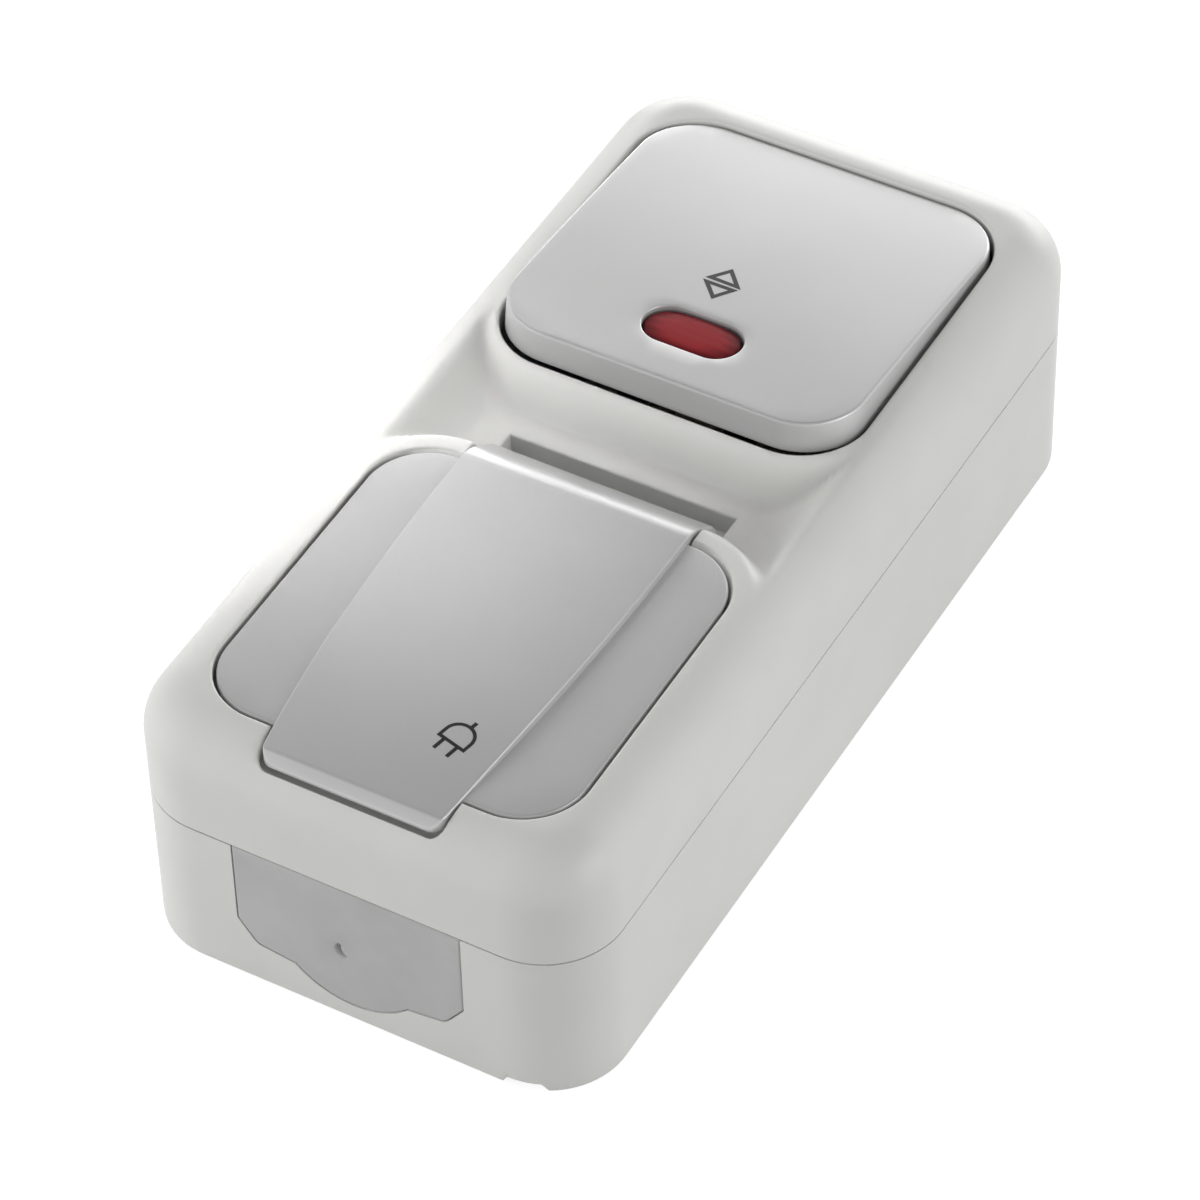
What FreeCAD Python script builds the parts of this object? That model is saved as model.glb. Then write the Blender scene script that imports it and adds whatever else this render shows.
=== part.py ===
"""Weatherproof surface housing with a lit two-way rocker switch above an earthed socket under a sprung lid.

The part lies on its back: +Z points out of the wall, +Y up the wall towards the rocker, +X to the right.
The origin is the centre of the back face. Lengths are in millimetres and angles in degrees.
"""
import FreeCAD, Part
import Sketcher
import math
import os
from types import SimpleNamespace

# Driving sizes: each name is an alias in the sheet
DRIVING_SIZES = {
    # Housing
    "housing_width": 70.0,
    "housing_length": 147.6,
    "corner_radius": 11.5,
    "seam_height": 25.3,
    "cover_top": 43.0,
    "shoulder_radius": 8.0,
    "seam_chamfer": 0.25,
    "base_wall": 3.0,
    "base_floor": 2.5,
    "cover_wall": 2.5,
    "cut_margin": 1.0,
    "fit_gap": 0.1,
    "seat_gap": 0.3,
    # Seal between base and cover
    "groove_width": 1.4,
    "groove_depth": 1.1,
    # Cover screws, their posts and the holes that fix the base to the wall
    "cover_screw_side_inset": 11.8,
    "cover_screw_end_inset": 15.0,
    "post_radius": 4.0,
    "upper_lug_top": 30.0,
    "lower_screw_seat": 37.0,
    "cover_screw_length": 22.0,
    "upper_screw_length": 18.0,
    "rib_width": 4.0,
    "mount_hole_side_inset": 9.0,
    "mount_hole_end_inset": 7.8,
    "mount_hole_radius": 2.2,
    # Screws
    "screw_radius": 1.5,
    "screw_head_radius": 2.4,
    "screw_head_height": 2.0,
    "screw_slot_width": 0.8,
    "screw_slot_depth": 1.0,
    # Drain notch in the lower edge of the base
    "drain_side_inset": 11.5,
    "drain_width": 4.8,
    "drain_height": 1.5,
    # Rubber cable entry in the lower wall
    "grommet_half_width": 17.25,
    "grommet_side_foot": 11.2,
    "grommet_shoulder_x": 14.4,
    "grommet_shoulder_height": 7.4,
    "grommet_neck_x": 8.6,
    "grommet_neck_height": 6.6,
    "grommet_lowest": 2.9,
    "grommet_flange": 1.5,
    "grommet_skin": 1.2,
    "grommet_cup_radius": 8.0,
    "grommet_cup_height": 13.4,
    "grommet_pierce_radius": 1.0,
    # Trough between the socket and the switch
    "trough_floor": 35.7,
    "trough_half_width": 27.5,
    "trough_wall_angle": 30.0,
    "trough_overlap": 8.0,
    "trough_roof": 31.5,
    "hood_width": 3.0,
    "hood_edge_radius": 2.0,
    "apron_width": 0.9,
    "apron_edge_radius": 1.5,
    # Gutter behind the lid hinge
    "gutter_floor": 33.0,
    "gutter_far_reach": 7.75,
    "gutter_near_reach": 3.7,
    # Socket lid
    "lid_half_width": 27.0,
    "lid_end_inset": 7.75,
    "lid_length": 54.0,
    "lid_corner": 9.1,
    "lid_gap": 0.5,
    "lid_top": 42.8,
    "lid_thickness": 2.4,
    "lid_back_angle": 50.0,
    "lid_recess_floor": 39.4,
    "lid_recess_web": 2.0,
    "panel_back_half": 17.2,
    "panel_tip_half": 13.6,
    "panel_side_setback": 0.95,
    "panel_tip_reach": 5.25,
    "panel_tip_corner": 1.8,
    "panel_tip_lean": 0.7,
    "panel_top": 44.0,
    "panel_tip_top": 42.65,
    "panel_bend_setback": 32.95,
    "panel_back_reach": 1.35,
    "panel_back_round": 3.0,
    "panel_side_gap": 0.35,
    "panel_skin": 1.6,
    "panel_hollow_half": 13.5,
    "panel_hollow_front_inset": 5.05,
    "panel_hollow_back_inset": 4.95,
    "lid_hinge_reach": 5.05,
    "lid_hinge_z": 37.8,
    "lid_barrel_radius": 2.8,
    "hinge_pin_radius": 1.0,
    "hinge_pin_half_length": 20.5,
    "running_clearance": 0.06,
    "lid_seal_inset": 2.0,
    "lid_seal_width": 1.6,
    "lid_seal_corner": 7.0,
    # Sprung closing coil on the hinge pin
    "lid_spring_radius": 1.45,
    "lid_spring_wire": 0.25,
    "lid_spring_length": 5.0,
    "lid_spring_pitch": 1.25,
    "lid_spring_room": 2.05,
    "lid_spring_room_half": 3.6,
    # Socket
    "socket_setback": 26.75,
    "socket_bore_radius": 19.5,
    "socket_wall": 1.7,
    "socket_depth": 17.5,
    "socket_floor": 2.0,
    "socket_opening_gap": 0.3,
    "pin_spacing": 19.0,
    "pin_hole_radius": 2.8,
    "guide_rib_width": 3.5,
    "guide_rib_height": 1.6,
    "guide_rib_top_drop": 3.0,
    "socket_base_bottom": 4.0,
    "socket_base_top": 19.0,
    "socket_base_radius": 20.5,
    "socket_wing_half_width": 27.5,
    "socket_wing_half_length": 12.0,
    "earth_block_half_width": 6.0,
    "earth_block_end": 27.5,
    "contact_outer_radius": 3.6,
    "contact_bore_radius": 2.55,
    "contact_length": 11.0,
    "contact_bar_thickness": 1.2,
    "contact_bar_half_width": 3.0,
    "contact_bar_drop": 1.8,
    "contact_screw_x": 23.9,
    "contact_bar_end": 26.8,
    "strap_half_width": 4.0,
    "strap_thickness": 0.8,
    "strap_arm_reach": 19.0,
    "strap_arm_top": 35.5,
    "earth_screw_reach": 24.3,
    "terminal_screw_length": 8.0,
    "centre_screw_length": 14.0,
    "socket_fix_x": 17.0,
    "socket_fix_y": 7.8,
    "counterbore_depth": 2.3,
    "fixing_screw_tip": 1.6,
    # Rocker
    "rocker_end_inset": 36.85,
    "rocker_opening_half_width": 28.05,
    "rocker_opening_half_length": 28.2,
    "rocker_opening_radius": 10.2,
    "rocker_frame_lip": 3.5,
    "rocker_room_half_width": 31.0,
    "rocker_room_front_reach": 27.45,
    "rocker_room_back_reach": 31.05,
    "rocker_gap": 0.55,
    "rocker_pivot_z": 38.0,
    "rocker_tilt": 5.0,
    "rocker_rise": 7.7,
    "rocker_skirt_drop": 0.3,
    "rocker_draft": 2.4,
    "rocker_wall": 1.8,
    "rocker_plate": 2.0,
    "rocker_edge_radius": 0.45,
    "lens_half_length": 7.5,
    "lens_half_width": 4.0,
    "lens_offset": -16.7,
    "lens_sink": 0.5,
    "lens_flange": 1.2,
    "lens_flange_thickness": 0.8,
    "carrier_half_width": 12.4,
    "carrier_half_length": 11.0,
    "carrier_plate": 2.0,
    "stem_radius": 4.2,
    "stem_bottom": 12.0,
    "pivot_pin_radius": 1.6,
    "pivot_pin_half_length": 15.8,
    "plunger_radius": 2.5,
    "plunger_length": 9.0,
    "plunger_tip": 17.25,
    "plunger_travel": 0.8,
    "plunger_bore_end": 2.0,
    "plunger_spring_radius": 1.9,
    "plunger_spring_wire": 0.3,
    "plunger_spring_pitch": 2.0,
    # Switch mechanism
    "switch_bottom": 4.0,
    "switch_top": 24.0,
    "switch_half_width": 17.0,
    "switch_half_length": 16.0,
    "terminal_shelf": 21.5,
    "terminal_shelf_half_width": 6.0,
    "chamber_half_width": 7.0,
    "chamber_half_length": 13.0,
    "chamber_floor": 9.0,
    "ear_inner": 12.8,
    "ear_thickness": 3.0,
    "ear_half_length": 4.5,
    "ear_above_pivot": 3.0,
    "switch_fix_x": 12.0,
    "switch_fix_y": 11.5,
    "fixing_pad_radius": 4.0,
    "seesaw_z": 20.0,
    "seesaw_tilt": 6.0,
    "seesaw_half_length": 11.0,
    "seesaw_half_width": 3.4,
    "seesaw_thickness": 0.8,
    "seesaw_bead": 0.8,
    "rivet_reach": 9.4,
    "rivet_radius": 1.5,
    "rivet_height": 0.7,
    "traveller_top": 17.6,
    "terminal_thickness": 0.8,
    "terminal_half_width": 3.0,
    "terminal_screw_reach": 18.4,
    "common_level": 12.0,
    "fulcrum_half_thickness": 0.5,
    "common_screw_reach": 19.4,
    "common_shelf": 22.5,
    # Indicator lamp
    "lamp_y": -14.3,
    "lamp_z": 33.0,
    "lamp_radius": 2.2,
    "lamp_half_length": 5.0,
    "lamp_holder_half_width": 3.0,
    "lamp_holder_half_length": 1.5,
}

document = FreeCAD.newDocument("switch_and_socket")
sheet = document.addObject("Spreadsheet::Sheet", "sizes")
for row, (alias, number) in enumerate(DRIVING_SIZES.items(), start=1):
    sheet.set(f"A{row}", alias)
    sheet.set(f"B{row}", str(number))
    sheet.setAlias(f"B{row}", alias)
document.recompute()


class Size:
    """A number together with the sheet expression that it comes from."""

    def __init__(self, value, text):
        self.value = float(value)
        self.text = text

    def __add__(self, other):
        other = as_size(other)
        return Size(self.value + other.value, f"({self.text} + {other.text})")

    def __sub__(self, other):
        other = as_size(other)
        return Size(self.value - other.value, f"({self.text} - {other.text})")

    def __rsub__(self, other):
        return as_size(other) - self

    def __mul__(self, other):
        other = as_size(other)
        return Size(self.value * other.value, f"({self.text} * {other.text})")

    def __truediv__(self, other):
        other = as_size(other)
        return Size(self.value / other.value, f"({self.text} / {other.text})")

    def __neg__(self):
        return Size(-self.value, f"(-1 * {self.text})")

    __radd__ = __add__
    __rmul__ = __mul__


def as_size(number):
    """A Size for a plain number, or the Size itself."""
    return number if isinstance(number, Size) else Size(number, str(number))


def tangent(angle):
    """The tangent of an angle in degrees."""
    return Size(math.tan(math.radians(angle.value)), f"tan({angle.text} * 1deg)")


def sine(angle):
    """The sine of an angle in degrees."""
    return Size(math.sin(math.radians(angle.value)), f"sin({angle.text} * 1deg)")


def cosine(angle):
    """The cosine of an angle in degrees."""
    return Size(math.cos(math.radians(angle.value)), f"cos({angle.text} * 1deg)")


def root(number):
    """The square root of a size."""
    return Size(math.sqrt(number.value), f"sqrt({number.text})")


size = SimpleNamespace(**{alias: Size(number, f"sizes.{alias}") for alias, number in DRIVING_SIZES.items()})
ZERO = as_size(0)


# Shapes of sketches

def rounded_rectangle(half_width, low, high, radius, middle=ZERO):
    """Outline of a rectangle with four equal round corners, anticlockwise."""
    left = middle - half_width
    right = middle + half_width
    return [
        (left + radius, low), (right - radius, low, radius),
        (right, low + radius), (right, high - radius, radius),
        (right - radius, high), (left + radius, high, radius),
        (left, high - radius), (left, low + radius, radius),
    ]


def rectangle(left, right, low, high):
    """Outline of a plain rectangle, anticlockwise."""
    return [(left, low), (right, low), (right, high), (left, high)]


def arc_through(start, end, radius):
    """Minor arc of a signed radius, positive to the left, and whether it is stored from end to start."""
    chord = end - start
    offset = math.sqrt(radius ** 2 - chord.Length ** 2 / 4)
    left_normal = FreeCAD.Vector(-chord.y, chord.x, 0).normalize()
    centre = (start + end) / 2 + left_normal * math.copysign(offset, radius)
    first, last = (start, end) if radius > 0 else (end, start)
    angles = [math.atan2(point.y - centre.y, point.x - centre.x) for point in (first, last)]
    circle = Part.Circle(centre, FreeCAD.Vector(0, 0, 1), abs(radius))
    return Part.ArcOfCircle(circle, *angles), radius < 0


def draw(sketch, outline):
    """Closed outline: (x, y) starts a straight run to the next point, (x, y, radius) an arc to it."""
    points = [FreeCAD.Vector(point[0].value, point[1].value, 0) for point in outline]
    ends = []
    bound = {}
    constraints = []
    offset = len(sketch.Constraints)
    for number, point in enumerate(outline):
        start = points[number]
        end = points[(number + 1) % len(points)]
        backwards = False
        if len(point) == 2:
            curve = Part.LineSegment(start, end)
        else:
            curve, backwards = arc_through(start, end, point[2].value)
        index = sketch.addGeometry(curve)
        ends.append((index, 2, 1) if backwards else (index, 1, 2))
        if len(point) == 3:
            bound[offset + len(constraints)] = -point[2] if backwards else point[2]
            constraints.append(Sketcher.Constraint("Radius", index, abs(point[2].value)))
    for number, point in enumerate(outline):
        index, first, last = ends[number]
        following = ends[(number + 1) % len(ends)]
        constraints.append(Sketcher.Constraint("Coincident", index, last, following[0], following[1]))
        for kind, coordinate in (("DistanceX", point[0]), ("DistanceY", point[1])):
            bound[offset + len(constraints)] = coordinate
            constraints.append(Sketcher.Constraint(kind, -1, 1, index, first, coordinate.value))
    constrain(sketch, constraints, bound)


def draw_circle(sketch, x, y, radius):
    """Circle in a sketch."""
    centre = FreeCAD.Vector(x.value, y.value, 0)
    index = sketch.addGeometry(Part.Circle(centre, FreeCAD.Vector(0, 0, 1), radius.value))
    offset = len(sketch.Constraints)
    constraints = [
        Sketcher.Constraint("DistanceX", -1, 1, index, 3, x.value),
        Sketcher.Constraint("DistanceY", -1, 1, index, 3, y.value),
        Sketcher.Constraint("Radius", index, radius.value),
    ]
    constrain(sketch, constraints, dict(enumerate((x, y, radius), start=offset)))


def constrain(sketch, constraints, bound):
    """Add the constraints and bind the numbered ones to the sheet."""
    sketch.addConstraint(constraints)
    for index, number in bound.items():
        sketch.renameConstraint(index, f"size_{index}")
        sketch.setExpression(f"Constraints.size_{index}", number.text)


# Features of bodies

def new_body(name, x=ZERO, y=ZERO, z=ZERO, tilt=None):
    """Empty body at a place, turned about X by the tilt where one is given."""
    body = document.addObject("PartDesign::Body", name)
    body.Label = name
    if tilt is not None:
        body.Placement.Rotation = FreeCAD.Rotation(FreeCAD.Vector(1, 0, 0), tilt.value)
        body.setExpression("Placement.Rotation.Angle", tilt.text)
    place(body, x, y, z)
    return body


def place(item, x, y, z):
    """Bind the place of an object to the sheet."""
    for axis, number in zip("xyz", (x, y, z)):
        item.setExpression(f"Placement.Base.{axis}", number.text)


def new_sketch(body, level=ZERO, role="XY_Plane"):
    """Sketch on one of the body's own planes, lifted along the plane's normal to a level."""
    sketch = body.newObject("Sketcher::SketchObject", f"{body.Name}_sketch")
    plane = next(item for item in body.Origin.OriginFeatures if item.Role == role)
    sketch.AttachmentSupport = [(plane, "")]
    sketch.MapMode = "FlatFace"
    sketch.setExpression("AttachmentOffset.Base.z", level.text)
    return sketch


def outline_sketch(body, outline, level=ZERO, role="XY_Plane"):
    """Sketch of one closed outline."""
    sketch = new_sketch(body, level, role)
    draw(sketch, outline)
    return sketch


def circle_sketch(body, circles, level=ZERO, role="XY_Plane"):
    """Sketch of separate circles, each given as x, y and radius."""
    sketch = new_sketch(body, level, role)
    for x, y, radius in circles:
        draw_circle(sketch, x, y, radius)
    return sketch


def feature(body, kind, sketch, length=None, backwards=False, both_ways=False):
    """Pad or Pocket of a sketch, through everything where no length is given."""
    item = body.newObject(f"PartDesign::{kind}", f"{body.Name}_{kind}")
    item.Profile = sketch
    item.Reversed = backwards
    item.Midplane = both_ways
    if length is None:
        item.Type = "ThroughAll"
    else:
        item.setExpression("Length", length.text)
    sketch.Visibility = False
    return item


def pad(body, sketch, length, backwards=False, both_ways=False):
    """Material along the sketch's normal."""
    return feature(body, "Pad", sketch, length, backwards, both_ways)


def tapered_pad(body, sketch, length, taper, backwards=False):
    """Material whose sides spread outwards by the taper, or close in where it is negative."""
    item = pad(body, sketch, length, backwards)
    item.setExpression("TaperAngle", taper.text)
    return item


def pocket(body, sketch, length=None, backwards=False, both_ways=False):
    """Cut against the sketch's normal, or along it when backwards."""
    return feature(body, "Pocket", sketch, length, backwards, both_ways)


def loft(body, lower, upper):
    """Straight-sided material between two sketches of like outline."""
    item = body.newObject("PartDesign::AdditiveLoft", f"{body.Name}_loft")
    item.Profile = lower
    item.Sections = [upper]
    item.Ruled = True
    return item


def revolve(body, sketch):
    """Full turn of a sketch about its own upright axis."""
    item = body.newObject("PartDesign::Revolution", f"{body.Name}_turned")
    item.Profile = sketch
    item.ReferenceAxis = (sketch, ["V_Axis"])
    return item


def dress_edges(body, kind, property_name, number, wanted):
    """Fillet or Chamfer on the edges of the body's tip that the test wants."""
    document.recompute()
    base = body.Tip
    names = [f"Edge{index}" for index, edge in enumerate(base.Shape.Edges, start=1) if wanted(edge)]
    item = body.newObject(f"PartDesign::{kind}", f"{body.Name}_{kind}")
    item.Base = (base, names)
    item.setExpression(property_name, number.text)
    return item


def at_level(level):
    """Test for edges that lie flat at a height in their body's own frame."""
    def wanted(edge):
        return all(abs(vertex.Z - level.value) < 1e-6 for vertex in edge.Vertexes)
    return wanted


def cylinder(name, radius, length, x, y, z, along_x=False):
    """Round bar along Z, or along X and centred on it."""
    bar = document.addObject("Part::Cylinder", name)
    bar.setExpression("Radius", radius.text)
    bar.setExpression("Height", length.text)
    if along_x:
        bar.Placement.Rotation = FreeCAD.Rotation(FreeCAD.Vector(0, 1, 0), 90)
        x = x - length / 2
    place(bar, x, y, z)
    return bar


def box(name, left, right, low, high, bottom, top):
    """Block between six planes."""
    block = document.addObject("Part::Box", name)
    block.setExpression("Length", (right - left).text)
    block.setExpression("Width", (high - low).text)
    block.setExpression("Height", (top - bottom).text)
    place(block, left, low, bottom)
    return block


def combine(kind, name, items):
    """Union, common part or group of several objects."""
    item = document.addObject(f"Part::{kind}", name)
    setattr(item, "Links" if kind == "Compound" else "Shapes", items)
    return item


def cut(name, base, tools):
    """A solid less the union of some tools."""
    item = document.addObject("Part::Cut", name)
    item.Base = base
    item.Tool = tools[0] if len(tools) == 1 else combine("MultiFuse", f"{name}_tools", tools)
    return item


# Places along the housing: the lid and socket keep to its lower end, the switch to its upper end

half_width = size.housing_width / 2
half_length = size.housing_length / 2
size.lid_front = size.lid_end_inset - half_length
size.lid_back = size.lid_front + size.lid_length
size.panel_tip = size.lid_front - size.panel_tip_reach
size.panel_side_start = size.lid_back - size.panel_side_setback
size.panel_bend_start = size.lid_back - size.panel_bend_setback
size.panel_back = size.lid_back + size.panel_back_reach
size.panel_hollow_front = size.lid_front + size.panel_hollow_front_inset
size.panel_hollow_back = size.lid_back - size.panel_hollow_back_inset
size.lid_hinge_y = size.lid_back + size.lid_hinge_reach
size.gutter_far_edge = size.lid_hinge_y + size.gutter_far_reach
size.gutter_near_edge = size.lid_hinge_y - size.gutter_near_reach
size.socket_y = size.lid_front + size.socket_setback
size.rocker_y = half_length - size.rocker_end_inset
size.rocker_room_front = size.rocker_y - size.rocker_room_front_reach
size.rocker_room_back = size.rocker_y + size.rocker_room_back_reach
size.trough_low_end = size.lid_back - size.trough_overlap
size.trough_high_end = size.rocker_y - size.rocker_opening_half_length + size.trough_overlap

# Sizes that several pieces share

cover_screw_places = [
    ((half_width - size.cover_screw_side_inset) * side, (half_length - size.cover_screw_end_inset) * end)
    for end in (-1, 1) for side in (-1, 1)
]
screw_hole_radius = size.screw_radius + size.running_clearance
counterbore_radius = size.screw_head_radius + size.seat_gap
socket_fix_places = [
    (size.socket_fix_x * side, size.socket_y + size.socket_fix_y * side) for side in (-1, 1)
]
switch_fix_places = [
    (size.switch_fix_x * side, size.rocker_y + size.switch_fix_y * side) for side in (-1, 1)
]
lid_underside = size.lid_top - size.lid_thickness
socket_outer_radius = size.socket_bore_radius + size.socket_wall
socket_opening_radius = socket_outer_radius + size.socket_opening_gap
recess_floor = size.lid_recess_floor - size.socket_depth
cap_underside = size.rocker_rise - size.rocker_plate


def housing_outline(inset):
    """Plan of the housing, pulled in all round by an inset."""
    return rounded_rectangle(
        half_width - inset, inset - half_length, half_length - inset, size.corner_radius - inset)


def lid_outline(level, grow):
    """Plan of the lid's wings at a height: the hinge edge slants back towards the top."""
    back = size.lid_back + (level - size.lid_top) * tangent(size.lid_back_angle)
    return rounded_rectangle(
        size.lid_half_width + grow, size.lid_front - grow, back + grow, size.lid_corner + grow)


def panel_outline(grow, back):
    """Plan of the lid's raised centre panel: straight at the hinge, then bowed in to the finger tip."""
    tip_half = size.panel_tip_half + grow
    back_half = size.panel_back_half + grow
    tip = size.panel_tip - grow
    corner = size.panel_tip_corner
    start = size.panel_side_start
    run = start - tip - corner
    drop = back_half - tip_half
    bow = (run * run + drop * drop) / (drop * 2)
    return [
        (corner - tip_half, tip), (tip_half - corner, tip, corner),
        (tip_half, tip + corner, bow), (back_half, start), (back_half, back),
        (-back_half, back), (-back_half, start, bow), (-tip_half, tip + corner, corner),
    ]


def grommet_outline(grow, top):
    """Front view of the cable entry: straight sides, sloping shoulders and a round belly."""
    side = size.grommet_half_width + grow
    shoulder = size.grommet_shoulder_x + grow
    neck = size.grommet_neck_x
    lowest = size.grommet_lowest - grow
    neck_height = size.grommet_neck_height - grow
    shoulder_height = size.grommet_shoulder_height - grow
    sag = neck_height - lowest
    belly = (neck * neck + sag * sag) / (sag * 2)
    return [
        (-side, top), (-side, size.grommet_side_foot), (-shoulder, shoulder_height),
        (-neck, neck_height, belly), (neck, neck_height), (shoulder, shoulder_height),
        (side, size.grommet_side_foot), (side, top),
    ]


def seal_groove(body):
    """Sketch of the groove for the foam cord, halfway through the rim."""
    groove = new_sketch(body, size.seam_height)
    draw(groove, housing_outline((size.base_wall - size.groove_width) / 2))
    draw(groove, housing_outline((size.base_wall + size.groove_width) / 2))
    return groove


def screw(name, x, y, seat, length):
    """Slotted cheese-head screw whose head sits on a level."""
    body = new_body(name, x, y, seat)
    profile = [
        (ZERO, -length), (size.screw_radius, -length), (size.screw_radius, ZERO),
        (size.screw_head_radius, ZERO), (size.screw_head_radius, size.screw_head_height),
        (ZERO, size.screw_head_height),
    ]
    revolve(body, outline_sketch(body, profile, role="XZ_Plane"))
    half_slot = size.screw_slot_width / 2
    reach = size.screw_head_radius + size.cut_margin
    slot = outline_sketch(body, rectangle(-reach, reach, -half_slot, half_slot), size.screw_head_height)
    pocket(body, slot, size.screw_slot_depth)
    return body


# Housing

def make_base_box():
    """Open box with posts for the cover screws, pads for the mechanisms and the cable entry's notch."""
    body = new_body("base_box")
    pad(body, outline_sketch(body, housing_outline(ZERO)), size.seam_height)
    dress_edges(body, "Chamfer", "Size", size.seam_chamfer, at_level(size.seam_height))
    hollow = outline_sketch(body, housing_outline(size.base_wall), size.base_floor)
    pocket(body, hollow, backwards=True)
    posts = [(x, y, size.post_radius) for x, y in cover_screw_places]
    pad(body, circle_sketch(body, posts, size.base_floor), size.seam_height - size.base_floor)
    bores = [(x, y, screw_hole_radius) for x, y in cover_screw_places]
    pocket(body, circle_sketch(body, bores, size.seam_height), size.cover_screw_length)
    pads = [(x, y, size.fixing_pad_radius) for x, y in socket_fix_places + switch_fix_places]
    pad(body, circle_sketch(body, pads, size.base_floor), size.socket_base_bottom - size.base_floor)
    bores = [(x, y, screw_hole_radius) for x, y in socket_fix_places + switch_fix_places]
    depth = size.socket_base_bottom - size.fixing_screw_tip + size.seat_gap
    pocket(body, circle_sketch(body, bores, size.socket_base_bottom), depth)
    pocket(body, seal_groove(body), size.groove_depth)
    top = size.seam_height + size.cut_margin
    entry = outline_sketch(body, grommet_outline(size.fit_gap, top), half_length, "XZ_Plane")
    pocket(body, entry, size.base_wall + size.cut_margin)
    drain_left = half_width - size.drain_side_inset
    drain = rectangle(drain_left, drain_left + size.drain_width, -size.cut_margin, size.drain_height)
    pocket(body, outline_sketch(body, drain, half_length, "XZ_Plane"), size.base_wall)
    hole_x = half_width - size.mount_hole_side_inset
    hole_y = half_length - size.mount_hole_end_inset
    holes = [(hole_x * side, hole_y * end, size.mount_hole_radius) for end in (-1, 1) for side in (-1, 1)]
    pocket(body, circle_sketch(body, holes, size.base_floor))
    return body


def make_trough():
    """Cutting tool of the sunk trough: sloped sides, less the lid's hood and the switch's apron."""
    spread = tangent(size.trough_wall_angle)
    top = size.cover_top + size.cut_margin
    cutter = new_body("trough_cutter")
    sections = []
    for level in (size.trough_floor, top):
        half = size.trough_half_width + (level - size.cover_top) * spread
        outline = rectangle(-half, half, size.trough_low_end, size.trough_high_end)
        sections.append(outline_sketch(cutter, outline, level))
    loft(cutter, *sections)
    depth = size.cover_top - size.trough_floor + size.cut_margin
    hood = new_body("hood_block")
    hood_plan = lid_outline(size.lid_top, size.lid_gap + size.hood_width)
    apron = new_body("apron_block")
    apron_plan = rocker_outline(size.apron_width)
    for block, plan, edge_radius in (
        (hood, hood_plan, size.hood_edge_radius), (apron, apron_plan, size.apron_edge_radius),
    ):
        sketch = outline_sketch(block, plan, size.cover_top)
        tapered_pad(block, sketch, depth, size.trough_wall_angle, backwards=True)
        dress_edges(block, "Fillet", "Radius", edge_radius, at_level(size.cover_top))
    return cut("trough", cutter, [hood, apron])


def rocker_outline(grow):
    """Plan of the opening for the rocker."""
    return rounded_rectangle(
        size.rocker_opening_half_width + grow,
        size.rocker_y - size.rocker_opening_half_length - grow,
        size.rocker_y + size.rocker_opening_half_length + grow,
        size.rocker_opening_radius + grow)


def make_cover_hollow():
    """Cutting tool of the cover's inside: rooms for socket and switch, less the lugs of the cover screws."""
    body = new_body("cover_hollow")
    bottom = size.seam_height - size.cut_margin
    over = size.cover_top + size.cut_margin
    pad(body, outline_sketch(body, housing_outline(size.cover_wall), bottom), size.trough_roof - bottom)
    lid_room = rounded_rectangle(
        size.lid_half_width + size.hood_width, size.lid_front - size.hood_width,
        size.lid_back - size.hood_width - size.lid_recess_web, size.lid_corner)
    lid_roof = size.lid_recess_floor - size.lid_recess_web
    pad(body, outline_sketch(body, lid_room, bottom), lid_roof - bottom)
    rocker_room = rounded_rectangle(
        size.rocker_room_half_width, size.rocker_room_front, size.rocker_room_back,
        size.rocker_opening_radius)
    rocker_roof = size.cover_top - size.rocker_frame_lip
    pad(body, outline_sketch(body, rocker_room, bottom), rocker_roof - bottom)
    pad(body, outline_sketch(body, rocker_outline(ZERO), bottom), over - bottom)
    opening = [(ZERO, size.socket_y, socket_opening_radius)]
    pad(body, circle_sketch(body, opening, bottom), size.lid_recess_floor + size.cut_margin - bottom)
    lower = [(x, y, size.post_radius) for x, y in cover_screw_places if y.value < 0]
    pocket(body, circle_sketch(body, lower, bottom), backwards=True)
    upper = [(x, y, size.post_radius) for x, y in cover_screw_places if y.value > 0]
    lug_height = size.upper_lug_top - bottom
    pocket(body, circle_sketch(body, upper, bottom), lug_height, backwards=True)
    half_rib = size.rib_width / 2
    for x, y in cover_screw_places:
        if y.value > 0:
            outer = half_width if x.value > 0 else -half_width
            left, right = (x, outer) if x.value > 0 else (outer, x)
            rib = outline_sketch(body, rectangle(left, right, y - half_rib, y + half_rib), bottom)
            pocket(body, rib, lug_height, backwards=True)
    return body


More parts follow.
